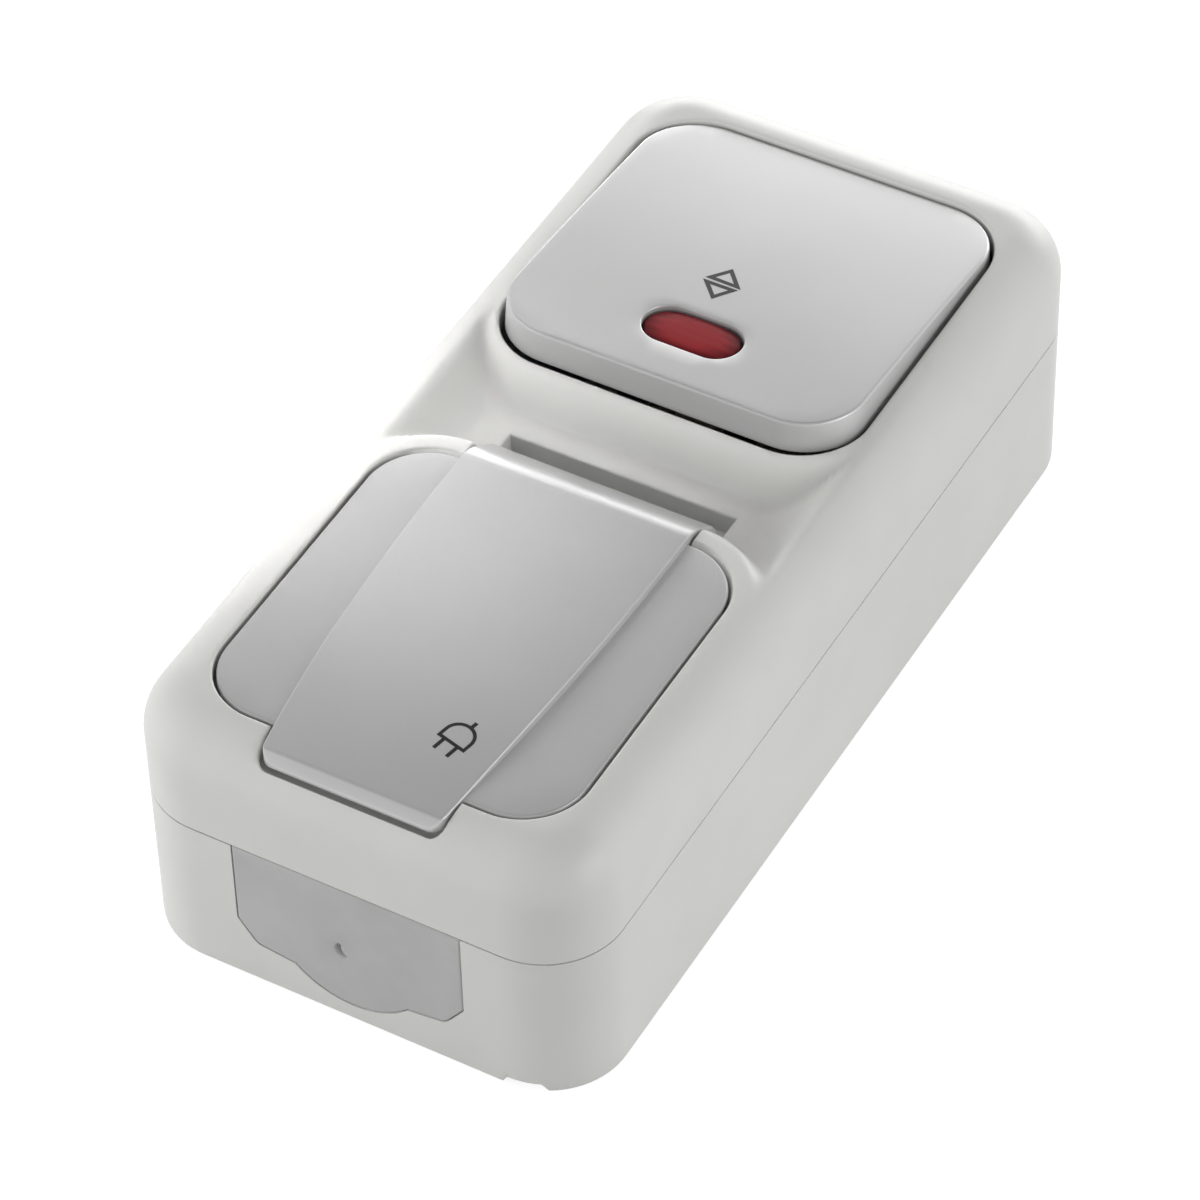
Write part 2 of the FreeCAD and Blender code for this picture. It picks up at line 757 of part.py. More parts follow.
def make_front_cover():
    """Moulded cover: soft shoulders, sunk trough, lid recess, finger notch, rocker opening, hinge gutter."""
    block = new_body("cover_block")
    plan = outline_sketch(block, housing_outline(ZERO), size.seam_height)
    pad(block, plan, size.cover_top - size.seam_height)
    dress_edges(block, "Fillet", "Radius", size.shoulder_radius, at_level(size.cover_top))
    dress_edges(block, "Chamfer", "Size", size.seam_chamfer, at_level(size.seam_height))
    over = size.cover_top + size.cut_margin
    recess = new_body("lid_recess")
    loft(recess, *[
        outline_sketch(recess, lid_outline(level, size.lid_gap), level)
        for level in (size.lid_recess_floor, over)
    ])
    notch = new_body("finger_notch")
    notch_plan = panel_outline(size.lid_gap, size.lid_back)
    pad(notch, outline_sketch(notch, notch_plan, size.lid_recess_floor), over - size.lid_recess_floor)
    half_slot = size.panel_back_half + size.panel_side_gap
    deep = box("hinge_gutter", -half_slot, half_slot, size.gutter_near_edge, size.gutter_far_edge,
               size.gutter_floor, over)
    throat = box("hinge_throat", -half_slot, half_slot, size.panel_hollow_back, size.gutter_far_edge,
                 size.lid_recess_floor, over)
    bore_length = (size.hinge_pin_half_length + size.seat_gap) * 2
    bore = cylinder("hinge_pin_bore", size.hinge_pin_radius + size.running_clearance, bore_length,
                    ZERO, size.lid_hinge_y, size.lid_hinge_z, along_x=True)
    holes = new_body("cover_screw_holes")
    bottom = size.seam_height - size.cut_margin
    bores = [(x, y, screw_hole_radius) for x, y in cover_screw_places]
    pad(holes, circle_sketch(holes, bores, bottom), size.lower_screw_seat - bottom + size.cut_margin)
    for end, seat in ((-1, size.lower_screw_seat), (1, size.upper_lug_top)):
        heads = [(x, y, counterbore_radius) for x, y in cover_screw_places if y.value * end > 0]
        pad(holes, circle_sketch(holes, heads, seat), size.lid_recess_floor + size.cut_margin - seat)
    tools = [make_trough(), recess, notch, deep, throat, bore, holes, make_cover_hollow()]
    return cut("front_cover", block, tools)


def make_perimeter_gasket():
    """Foam cord lying in the groove of the base's rim."""
    body = new_body("perimeter_gasket")
    bottom = size.seam_height - size.groove_depth
    ring = new_sketch(body, bottom)
    draw(ring, housing_outline((size.base_wall - size.groove_width) / 2 + size.fit_gap))
    draw(ring, housing_outline((size.base_wall + size.groove_width) / 2 - size.fit_gap))
    pad(body, ring, size.groove_depth - size.fit_gap)
    return body


def make_cable_grommet():
    """Rubber entry plate flush with the wall, with an inner flange and a thin skin for the cable."""
    body = new_body("cable_grommet")
    top = size.seam_height - size.fit_gap
    plate = outline_sketch(body, grommet_outline(ZERO, top), half_length, "XZ_Plane")
    pad(body, plate, size.base_wall + size.fit_gap, backwards=True)
    inner = half_length - size.base_wall - size.fit_gap
    flange = outline_sketch(body, grommet_outline(size.grommet_flange, top), inner, "XZ_Plane")
    pad(body, flange, size.grommet_flange, backwards=True)
    floor = rectangle(-half_width, half_width, -size.cut_margin, size.base_floor + size.fit_gap)
    pocket(body, outline_sketch(body, floor, half_length, "XZ_Plane"))
    skin = half_length - size.grommet_skin
    cup = circle_sketch(body, [(ZERO, size.grommet_cup_height, size.grommet_cup_radius)], skin, "XZ_Plane")
    pocket(body, cup)
    pocket(body, seal_groove(body), size.groove_depth)
    pierce = [(ZERO, size.grommet_cup_height, size.grommet_pierce_radius)]
    pocket(body, circle_sketch(body, pierce, half_length, "XZ_Plane"))
    return body


def make_cover_screws():
    """Four screws that hold the cover to the posts."""
    screws = []
    for index, (x, y) in enumerate(cover_screw_places):
        lower = y.value < 0
        seat = size.lower_screw_seat if lower else size.upper_lug_top
        length = size.cover_screw_length if lower else size.upper_screw_length
        screws.append(screw(f"cover_screw_{index}", x, y, seat, length))
    return combine("Compound", "cover_screws", screws)


# Lid

def make_socket_lid():
    """Sprung lid: flat wings, raised centre panel that bends down to the tip, hinge tail and barrel."""
    wings = new_body("lid_wings")
    loft(wings, *[
        outline_sketch(wings, lid_outline(level, ZERO), level) for level in (lid_underside, size.lid_top)
    ])
    tail_y = size.lid_hinge_y + size.lid_barrel_radius * cosine(size.lid_back_angle)
    tail_z = size.lid_hinge_z + size.lid_barrel_radius * sine(size.lid_back_angle)
    run = tail_y - size.panel_back
    drop = size.panel_top - tail_z
    slope = root(run * run + drop * drop)
    # The round at the hinge edge takes the same length from both runs
    setback = size.panel_back_round * drop / (slope + run)
    bend_run = size.panel_bend_start - size.panel_tip - size.panel_tip_lean
    bend_drop = size.panel_top - size.panel_tip_top
    bend = (bend_run * bend_run + bend_drop * bend_drop) / (bend_drop * 2)
    side_view = [
        (size.panel_tip, lid_underside), (size.lid_hinge_y - size.lid_barrel_radius, lid_underside),
        (size.lid_hinge_y, size.lid_hinge_z), (tail_y, tail_z),
        (size.panel_back + setback * run / slope, size.panel_top - setback * drop / slope,
         size.panel_back_round),
        (size.panel_back - setback, size.panel_top), (size.panel_bend_start, size.panel_top, bend),
        (size.panel_tip + size.panel_tip_lean, size.panel_tip_top),
    ]
    section = new_body("panel_section")
    pad(section, outline_sketch(section, side_view, role="YZ_Plane"), size.housing_width, both_ways=True)
    plan = new_body("panel_plan")
    reach = size.lid_hinge_y + size.lid_barrel_radius + size.cut_margin
    pad(plan, outline_sketch(plan, panel_outline(ZERO, reach), size.gutter_floor),
        size.panel_top + size.cut_margin - size.gutter_floor)
    panel = combine("MultiCommon", "lid_panel", [section, plan])
    barrel = cylinder("lid_barrel", size.lid_barrel_radius, size.panel_back_half * 2,
                      ZERO, size.lid_hinge_y, size.lid_hinge_z, along_x=True)
    blank = combine("MultiFuse", "lid_blank", [wings, panel, barrel])
    hollow = new_body("lid_hollow")
    half = size.panel_hollow_half
    hollow_plan = rounded_rectangle(half, size.panel_hollow_front, size.panel_hollow_back, size.panel_skin)
    pad(hollow, outline_sketch(hollow, hollow_plan, lid_underside - size.cut_margin),
        size.panel_tip_top - size.panel_skin + size.cut_margin * 2 - lid_underside)
    bore = cylinder("lid_barrel_bore", size.hinge_pin_radius + size.running_clearance, size.housing_width,
                    ZERO, size.lid_hinge_y, size.lid_hinge_z, along_x=True)
    room = cylinder("lid_spring_room", size.lid_spring_room, size.lid_spring_room_half * 2,
                    ZERO, size.lid_hinge_y, size.lid_hinge_z, along_x=True)
    return cut("socket_lid", blank, [hollow, bore, room])


def make_lid_gasket():
    """Soft ring under the lid that meets the floor of the lid recess."""
    body = new_body("lid_gasket")
    back = size.lid_back - size.lid_thickness * tangent(size.lid_back_angle)
    bottom = size.lid_recess_floor + size.seat_gap
    ring = new_sketch(body, bottom)
    for inset in (size.lid_seal_inset, size.lid_seal_inset + size.lid_seal_width):
        half = size.lid_half_width - inset
        corner = size.lid_seal_corner - inset
        draw(ring, rounded_rectangle(half, size.lid_front + inset, back - inset, corner))
    pad(body, ring, lid_underside - bottom)
    return body


def coil(name, radius, wire, pitch, length):
    """Round wire wound in a helix along the object's own Z."""
    line = document.addObject("Part::Helix", f"{name}_line")
    line.setExpression("Radius", radius.text)
    line.setExpression("Pitch", pitch.text)
    line.setExpression("Height", length.text)
    line.SegmentLength = 1
    ring = document.addObject("Part::Circle", f"{name}_ring")
    ring.setExpression("Radius", wire.text)
    ring.Placement.Rotation = FreeCAD.Rotation(FreeCAD.Vector(1, 0, 0), 90)
    place(ring, radius, ZERO, ZERO)
    sweep = document.addObject("Part::Sweep", name)
    sweep.Sections = [ring]
    sweep.Spine = (line, [])
    sweep.Solid = True
    sweep.Frenet = True
    return sweep


def make_lid_spring():
    """Closing coil round the hinge pin, in the gap of the lid's barrel."""
    spring = coil("lid_spring", size.lid_spring_radius, size.lid_spring_wire, size.lid_spring_pitch,
                  size.lid_spring_length)
    spring.Placement.Rotation = FreeCAD.Rotation(FreeCAD.Vector(0, 1, 0), 90)
    place(spring, -size.lid_spring_length / 2, size.lid_hinge_y, size.lid_hinge_z)
    return spring


# Socket

def make_socket_insert():
    """Round cup that takes the plug, with pin holes, side guide ribs and slots for the earth arms."""
    body = new_body("socket_insert", y=size.socket_y)
    bottom = recess_floor - size.socket_floor
    profile = [
        (ZERO, bottom), (socket_outer_radius, bottom), (socket_outer_radius, size.lid_recess_floor),
        (size.socket_bore_radius, size.lid_recess_floor), (size.socket_bore_radius, recess_floor),
        (ZERO, recess_floor),
    ]
    revolve(body, outline_sketch(body, profile, role="XZ_Plane"))
    half_rib = size.guide_rib_width / 2
    rib_height = size.socket_depth - size.guide_rib_top_drop
    for side in (-1, 1):
        bore = size.socket_bore_radius
        ends = [bore - size.guide_rib_height, bore + size.socket_wall / 2]
        left, right = ends if side > 0 else [-end for end in reversed(ends)]
        rib = rectangle(left, right, -half_rib, half_rib)
        pad(body, outline_sketch(body, rib, recess_floor), rib_height)
    holes = [(size.pin_spacing / 2 * side, ZERO, size.pin_hole_radius) for side in (-1, 1)]
    holes.append((ZERO, ZERO, screw_hole_radius))
    pocket(body, circle_sketch(body, holes, recess_floor))
    half_slot = size.strap_half_width + size.seat_gap
    inner = size.strap_arm_reach - size.strap_thickness - size.seat_gap
    outer = socket_outer_radius + size.cut_margin
    slot_height = size.strap_arm_top + size.seat_gap - bottom
    for low, high in ((-outer, -inner), (inner, outer)):
        slot = outline_sketch(body, rectangle(-half_slot, half_slot, low, high), bottom)
        pocket(body, slot, slot_height, backwards=True)
    return body


def make_socket_base():
    """Insulating block under the cup, with wells for the contacts and shelves for the terminals."""
    body = new_body("socket_base", y=size.socket_y)
    height = size.socket_base_top - size.socket_base_bottom
    bottom = size.socket_base_bottom
    pad(body, circle_sketch(body, [(ZERO, ZERO, size.socket_base_radius)], bottom), height)
    wing = size.socket_wing_half_width
    length = size.socket_wing_half_length
    pad(body, outline_sketch(body, rectangle(-wing, wing, -length, length), bottom), height)
    half = size.earth_block_half_width
    pad(body, outline_sketch(body, rectangle(-half, half, ZERO, size.earth_block_end), bottom), height)
    wells = [
        (size.pin_spacing / 2 * side, ZERO, size.contact_outer_radius + size.seat_gap) for side in (-1, 1)
    ]
    well_depth = size.contact_bar_drop + size.contact_length + size.seat_gap
    pocket(body, circle_sketch(body, wells, size.socket_base_top), well_depth)
    channel = size.contact_bar_half_width + size.fit_gap
    for side in (-1, 1):
        ends = [size.pin_spacing / 2, wing + size.cut_margin]
        left, right = ends if side > 0 else [-end for end in reversed(ends)]
        run = outline_sketch(body, rectangle(left, right, -channel, channel), size.socket_base_top)
        pocket(body, run, size.contact_bar_drop)
    bores = [(size.contact_screw_x * side, ZERO, screw_hole_radius) for side in (-1, 1)]
    bores += [(ZERO, ZERO, screw_hole_radius), (ZERO, size.earth_screw_reach, screw_hole_radius)]
    pocket(body, circle_sketch(body, bores, size.socket_base_top), height - size.fixing_screw_tip)
    fixings = [(x, y - size.socket_y, screw_hole_radius) for x, y in socket_fix_places]
    pocket(body, circle_sketch(body, fixings, size.socket_base_top))
    heads = [(x, y - size.socket_y, counterbore_radius) for x, y in socket_fix_places]
    pocket(body, circle_sketch(body, heads, size.socket_base_top), size.counterbore_depth)
    return body


def make_pin_contact(name, side):
    """Brass sleeve that grips a plug pin, with a flat bar out to its terminal screw."""
    body = new_body(name, x=size.pin_spacing / 2 * side, y=size.socket_y,
                    z=size.socket_base_top - size.contact_bar_drop)
    sleeve = circle_sketch(body, [(ZERO, ZERO, size.contact_outer_radius)])
    pad(body, sleeve, size.contact_length, backwards=True)
    reach = size.contact_bar_end - size.pin_spacing / 2
    half = size.contact_bar_half_width
    left, right = (ZERO, reach) if side > 0 else (-reach, ZERO)
    pad(body, outline_sketch(body, rectangle(left, right, -half, half)), size.contact_bar_thickness)
    screw_reach = (size.contact_screw_x - size.pin_spacing / 2) * side
    top = size.contact_bar_thickness
    holes = [(ZERO, ZERO, size.contact_bore_radius), (screw_reach, ZERO, screw_hole_radius)]
    pocket(body, circle_sketch(body, holes, top))
    return body


def make_earth_strap():
    """Bent strip under the cup with two arms that stand up inside it and a tail to the earth terminal."""
    body = new_body("earth_strap", y=size.socket_y, z=size.socket_base_top)
    half = size.strap_half_width
    outer = size.strap_arm_reach
    inner = outer - size.strap_thickness
    end = size.earth_screw_reach + size.screw_head_radius
    pad(body, outline_sketch(body, rectangle(-half, half, -outer, end)), size.strap_thickness)
    arm_height = size.strap_arm_top - size.socket_base_top
    for low, high in ((-outer, -inner), (inner, outer)):
        pad(body, outline_sketch(body, rectangle(-half, half, low, high)), arm_height)
    holes = [(ZERO, ZERO, screw_hole_radius), (ZERO, size.earth_screw_reach, screw_hole_radius)]
    pocket(body, circle_sketch(body, holes, size.strap_thickness))
    return body


def make_socket_terminal_screws():
    """Screws of the live, neutral and earth terminals."""
    bar_top = size.socket_base_top - size.contact_bar_drop + size.contact_bar_thickness
    strap_top = size.socket_base_top + size.strap_thickness
    length = size.terminal_screw_length
    screws = [
        screw("terminal_screw_left", -size.contact_screw_x, size.socket_y, bar_top, length),
        screw("terminal_screw_right", size.contact_screw_x, size.socket_y, bar_top, length),
        screw("terminal_screw_earth", ZERO, size.socket_y + size.earth_screw_reach, strap_top, length),
    ]
    return combine("Compound", "socket_terminal_screws", screws)


# Rocker: bodies stand in the rocker's own frame, whose origin is the middle of the pivot

def rocker_body(name):
    """Body in the tilted frame of the rocker."""
    return new_body(name, ZERO, size.rocker_y, size.rocker_pivot_z, -size.rocker_tilt)


def cap_outline(inset):
    """Plan of the rocker cap about the pivot, pulled in by an inset."""
    gap = size.rocker_gap + inset
    half_long = size.rocker_opening_half_length - gap
    return rounded_rectangle(
        size.rocker_opening_half_width - gap, -half_long, half_long, size.rocker_opening_radius - gap)


def stadium(half_long, half_wide, middle):
    """Outline of a slot with round ends along X."""
    reach = half_long - half_wide
    quarter = half_wide
    return [
        (-reach, middle - half_wide), (reach, middle - half_wide, quarter),
        (half_long, middle, quarter), (reach, middle + half_wide),
        (-reach, middle + half_wide, quarter), (-half_long, middle, quarter),
    ]


def make_rocker_cap():
    """Drafted rocker shell with a soft top edge and the window for the lens."""
    body = rocker_body("rocker_cap")
    height = size.rocker_rise + size.rocker_skirt_drop
    foot = outline_sketch(body, cap_outline(ZERO), -size.rocker_skirt_drop)
    tapered_pad(body, foot, height, -size.rocker_draft)
    dress_edges(body, "Fillet", "Radius", size.rocker_edge_radius, at_level(size.rocker_rise))
    inset = height * tangent(size.rocker_draft) + size.rocker_wall
    inside = outline_sketch(body, cap_outline(inset), cap_underside)
    pocket(body, inside)
    window = stadium(size.lens_half_length, size.lens_half_width, size.lens_offset)
    pocket(body, outline_sketch(body, window, size.rocker_rise))
    return body


def make_indicator_lens():
    """Red lens let into the window, with a flange behind the plate."""
    body = rocker_body("indicator_lens")
    gap = size.fit_gap
    bottom = cap_underside - size.lens_flange_thickness
    flange = stadium(size.lens_half_length + size.lens_flange, size.lens_half_width + size.lens_flange,
                     size.lens_offset)
    pad(body, outline_sketch(body, flange, bottom), size.lens_flange_thickness)
    window = stadium(size.lens_half_length - gap, size.lens_half_width - gap, size.lens_offset)
    pad(body, outline_sketch(body, window, bottom), size.rocker_rise - size.lens_sink - bottom)
    return body


def make_rocker_carrier():
    """Plate clipped under the cap, with the pivot pins and the stem that guides the plunger."""
    body = rocker_body("rocker_carrier")
    half = size.carrier_half_width
    length = size.carrier_half_length
    bottom = cap_underside - size.carrier_plate
    pad(body, outline_sketch(body, rectangle(-half, half, -length, length), bottom), size.carrier_plate)
    stem = circle_sketch(body, [(ZERO, ZERO, size.stem_radius)], -size.stem_bottom)
    pad(body, stem, bottom + size.stem_bottom)
    pins = circle_sketch(body, [(ZERO, ZERO, size.pivot_pin_radius)], role="YZ_Plane")
    pad(body, pins, size.pivot_pin_half_length * 2, both_ways=True)
    cheek = outline_sketch(
        body, rectangle(-size.pivot_pin_radius, size.pivot_pin_radius, ZERO, bottom), role="YZ_Plane")
    pad(body, cheek, half * 2, both_ways=True)
    bore_radius = size.plunger_radius + size.fit_gap
    bore = circle_sketch(body, [(ZERO, ZERO, bore_radius)], -size.stem_bottom)
    pocket(body, bore, size.stem_bottom - size.plunger_bore_end, backwards=True)
    return body


def make_switch_plunger():
    """Sliding pin with a round nose that tips the contact seesaw."""
    body = rocker_body("switch_plunger")
    nose = size.plunger_radius
    top = size.plunger_length - size.plunger_tip
    profile = [
        (ZERO, -size.plunger_tip, nose), (nose, nose - size.plunger_tip), (nose, top), (ZERO, top),
    ]
    revolve(body, outline_sketch(body, profile, role="XZ_Plane"))
    return body


def make_plunger_spring():
    """Coil between the plunger and the end of its bore."""
    top = size.plunger_length - size.plunger_tip
    wire = size.plunger_spring_wire
    room = -size.plunger_bore_end - top
    spring = coil("plunger_spring", size.plunger_spring_radius, wire, size.plunger_spring_pitch,
                  room - (wire + size.fit_gap) * 2)
    spring.Placement.Rotation = FreeCAD.Rotation(FreeCAD.Vector(1, 0, 0), -size.rocker_tilt.value)
    spring.setExpression("Placement.Rotation.Angle", (-size.rocker_tilt).text)
    start = top + wire + size.fit_gap
    place(spring, ZERO, size.rocker_y + start * sine(size.rocker_tilt),
          size.rocker_pivot_z + start * cosine(size.rocker_tilt))
    return spring


# Switch mechanism

def make_switch_body():
    """Insulating block with the contact chamber, terminal shelves and two ears that carry the rocker."""
    body = new_body("switch_body", y=size.rocker_y)
    wide = size.switch_half_width
    length = size.switch_half_length
    bottom = size.switch_bottom
    block = rectangle(-wide, wide, -length, length)
    pad(body, outline_sketch(body, block, bottom), size.switch_top - bottom)
    shelf = size.terminal_shelf
    half = size.terminal_shelf_half_width
    strip_bottom = size.traveller_top - size.terminal_thickness
    pad(body, outline_sketch(body, rectangle(-half, half, -shelf, shelf), bottom), strip_bottom - bottom)
    side_shelf = rectangle(ZERO, size.common_shelf, -half, half)
    pad(body, outline_sketch(body, side_shelf, bottom), size.common_level - bottom)
    for side in (-1, 1):
        ends = [size.ear_inner, size.ear_inner + size.ear_thickness]
        left, right = ends if side > 0 else [-end for end in reversed(ends)]
        ear = rectangle(left, right, -size.ear_half_length, size.ear_half_length)
        ear_height = size.rocker_pivot_z + size.ear_above_pivot - bottom
        pad(body, outline_sketch(body, ear, bottom), ear_height)
    chamber = rectangle(-size.chamber_half_width, size.chamber_half_width,
                        -size.chamber_half_length, size.chamber_half_length)
    pocket(body, outline_sketch(body, chamber, size.chamber_floor), backwards=True)
    bore = [(ZERO, size.rocker_pivot_z, size.pivot_pin_radius + size.running_clearance)]
    pocket(body, circle_sketch(body, bore, role="YZ_Plane"), size.housing_width, both_ways=True)
    slot_half = size.terminal_half_width + size.fit_gap
    slot_top = size.traveller_top + size.fit_gap
    slot = outline_sketch(body, rectangle(-slot_half, slot_half, strip_bottom, slot_top), role="XZ_Plane")
    pocket(body, slot, shelf * 2, both_ways=True)
    common_top = size.common_level + size.terminal_thickness + size.fit_gap
    slot = rectangle(-slot_half, slot_half, size.common_level, common_top)
    pocket(body, outline_sketch(body, slot, role="YZ_Plane"), size.common_shelf, backwards=True)
    floor = outline_sketch(
        body, rectangle(-slot_half, slot_half, size.chamber_floor, size.common_level), role="YZ_Plane")
    pad(body, floor, size.chamber_half_width * 2, both_ways=True)
    bores = [(ZERO, size.terminal_screw_reach * end, screw_hole_radius) for end in (-1, 1)]
    pocket(body, circle_sketch(body, bores, strip_bottom), size.terminal_screw_length)
    bores = [(size.common_screw_reach, ZERO, screw_hole_radius)]
    pocket(body, circle_sketch(body, bores, size.common_level), size.terminal_screw_length - size.fit_gap)
    fixings = [(x, y - size.rocker_y, screw_hole_radius) for x, y in switch_fix_places]
    pocket(body, circle_sketch(body, fixings, size.switch_top))
    return body


def make_traveller_terminal(name, end):
    """Brass strip with a fixed contact that runs out to its terminal screw."""
    body = new_body(name, y=size.rocker_y, z=size.traveller_top)
    half = size.terminal_half_width
    inner = size.rivet_reach - size.rivet_radius
    outer = size.terminal_shelf
    low, high = (inner, outer) if end > 0 else (-outer, -inner)
    strip = outline_sketch(body, rectangle(-half, half, low, high), -size.terminal_thickness)
    pad(body, strip, size.terminal_thickness)
    hole = [(ZERO, size.terminal_screw_reach * end, screw_hole_radius)]
    pocket(body, circle_sketch(body, hole))
    return body


def make_common_terminal():
    """Brass strip with an upstand on which the seesaw rocks, running out to its terminal screw."""
    body = new_body("common_terminal", y=size.rocker_y, z=size.common_level)
    half = size.terminal_half_width
    strip = outline_sketch(body, rectangle(-half, size.common_shelf, -half, half))
    pad(body, strip, size.terminal_thickness)
    edge = size.fulcrum_half_thickness
    height = size.seesaw_z - size.seesaw_bead - size.seat_gap - size.common_level
    pad(body, outline_sketch(body, rectangle(-half, half, -edge, edge)), height)
    hole = [(size.common_screw_reach, ZERO, screw_hole_radius)]
    pocket(body, circle_sketch(body, hole, size.terminal_thickness))
    return body


def make_contact_seesaw():
    """Brass bridge with a pressed bead that rocks on the common terminal and a contact at each end."""
    body = new_body("contact_seesaw", ZERO, size.rocker_y, size.seesaw_z, size.seesaw_tilt)
    half = size.seesaw_thickness / 2
    wide = size.seesaw_half_width
    length = size.seesaw_half_length
    plate = outline_sketch(body, rounded_rectangle(wide, -length, length, wide / 2), -half)
    pad(body, plate, size.seesaw_thickness)
    rivets = [(ZERO, size.rivet_reach * end, size.rivet_radius) for end in (-1, 1)]
    pad(body, circle_sketch(body, rivets, -half), size.rivet_height, backwards=True)
    bead = size.seesaw_bead
    half_round = [(-bead, ZERO, bead), (ZERO, -bead, bead), (bead, ZERO)]
    pad(body, outline_sketch(body, half_round, role="YZ_Plane"), wide * 2, both_ways=True)
    return body


def make_switch_terminal_screws():
    """Screws of the common and the two traveller terminals."""
    length = size.terminal_screw_length - size.terminal_thickness
    reach = size.terminal_screw_reach
    common_top = size.common_level + size.terminal_thickness
    screws = [
        screw("switch_screw_lower", ZERO, size.rocker_y - reach, size.traveller_top, length),
        screw("switch_screw_upper", ZERO, size.rocker_y + reach, size.traveller_top, length),
        screw("switch_screw_common", size.common_screw_reach, size.rocker_y, common_top, length),
    ]
    return combine("Compound", "switch_terminal_screws", screws)


def make_mechanism_screws():
    """Screws that fix the socket block and the switch block to the base."""
    socket_seat = size.socket_base_top - size.counterbore_depth
    screws = [
        screw(f"socket_fixing_{index}", x, y, socket_seat, socket_seat - size.fixing_screw_tip)
        for index, (x, y) in enumerate(socket_fix_places)
    ]
    screws += [
        screw(f"switch_fixing_{index}", x, y, size.switch_top, size.switch_top - size.fixing_screw_tip)
        for index, (x, y) in enumerate(switch_fix_places)
    ]
    return combine("Compound", "mechanism_screws", screws)


def make_indicator_lamp():
    """Glow lamp: a glass tube with round ends, lying across under the lens."""
    body = new_body("indicator_lamp", ZERO, size.rocker_y + size.lamp_y, size.lamp_z)
    body.Placement.Rotation = FreeCAD.Rotation(FreeCAD.Vector(0, 1, 0), 90)
    radius = size.lamp_radius
    straight = size.lamp_half_length - radius
    profile = [
        (ZERO, -size.lamp_half_length, radius), (radius, -straight), (radius, straight, radius),
        (ZERO, size.lamp_half_length),
    ]
    revolve(body, outline_sketch(body, profile, role="XZ_Plane"))
    return body


def make_lamp_holder():
    """Post on the switch block with a cradle for the lamp."""
    body = new_body("lamp_holder", y=size.rocker_y)
    half = size.lamp_holder_half_width
    thick = size.lamp_holder_half_length
    low, high = size.lamp_y - thick, size.lamp_y + thick
    post = outline_sketch(body, rectangle(-half, half, low, high), size.switch_top)
    pad(body, post, size.lamp_z - size.switch_top)
    cradle = [(size.lamp_y, size.lamp_z, size.lamp_radius + size.fit_gap)]
    pocket(body, circle_sketch(body, cradle, role="YZ_Plane"), half * 2, both_ways=True)
    return body


def make_hinge_pin():
    """Steel pin through the lid's barrel, held by the walls of the gutter."""
    return cylinder("lid_hinge_pin", size.hinge_pin_radius, size.hinge_pin_half_length * 2,
                    ZERO, size.lid_hinge_y, size.lid_hinge_z, along_x=True)


def make_nodes():
    """Every piece of the object by its name."""
    return {
        "base_box": make_base_box(),
        "front_cover": make_front_cover(),
        "perimeter_gasket": make_perimeter_gasket(),
        "cable_grommet": make_cable_grommet(),
        "cover_screws": make_cover_screws(),
        "socket_lid": make_socket_lid(),
        "lid_gasket": make_lid_gasket(),
        "lid_hinge_pin": make_hinge_pin(),
        "lid_spring": make_lid_spring(),
        "socket_insert": make_socket_insert(),
        "socket_base": make_socket_base(),
        "pin_contact_left": make_pin_contact("pin_contact_left", -1),
        "pin_contact_right": make_pin_contact("pin_contact_right", 1),
        "earth_strap": make_earth_strap(),
        "socket_terminal_screws": make_socket_terminal_screws(),
        "socket_centre_screw": screw("socket_centre_screw", ZERO, size.socket_y, recess_floor,
                                     size.centre_screw_length),
        "rocker_cap": make_rocker_cap(),
        "indicator_lens": make_indicator_lens(),
        "rocker_carrier": make_rocker_carrier(),
        "switch_plunger": make_switch_plunger(),
        "plunger_spring": make_plunger_spring(),
        "switch_body": make_switch_body(),
        "common_terminal": make_common_terminal(),
        "traveller_terminal_lower": make_traveller_terminal("traveller_terminal_lower", -1),
        "traveller_terminal_upper": make_traveller_terminal("traveller_terminal_upper", 1),
        "contact_seesaw": make_contact_seesaw(),
        "switch_terminal_screws": make_switch_terminal_screws(),
        "mechanism_screws": make_mechanism_screws(),
        "indicator_lamp": make_indicator_lamp(),
        "lamp_holder": make_lamp_holder(),
    }


def check(nodes):
    """Stop if anything in the document failed or a piece is missing or faulty."""
    for item in document.Objects:
        if "Invalid" in item.State or "Error" in item.State:
            raise RuntimeError(f"{item.Label} failed: {item.State}")
    for name, item in nodes.items():
        if item.Shape.isNull() or not item.Shape.isValid() or not item.Shape.Solids:
            raise RuntimeError(f"{name} has no valid solid")


nodes = make_nodes()
document.recompute()
check(nodes)
os.makedirs("parts", exist_ok=True)
for name, item in nodes.items():
    item.Label = name
    item.Shape.exportStep(f"parts/{name}.step")
    print(name, len(item.Shape.Solids), round(item.Shape.Volume, 1))
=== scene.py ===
"""Looks of the weatherproof unit: smooth moulded pieces, printed signs, materials, studio light and camera.

The pieces are worked out in millimetres and put into the meshes in metres.
"""
import math

import bmesh
import bpy
import numpy as np
from mathutils import Matrix
from mathutils.geometry import delaunay_2d_cdt


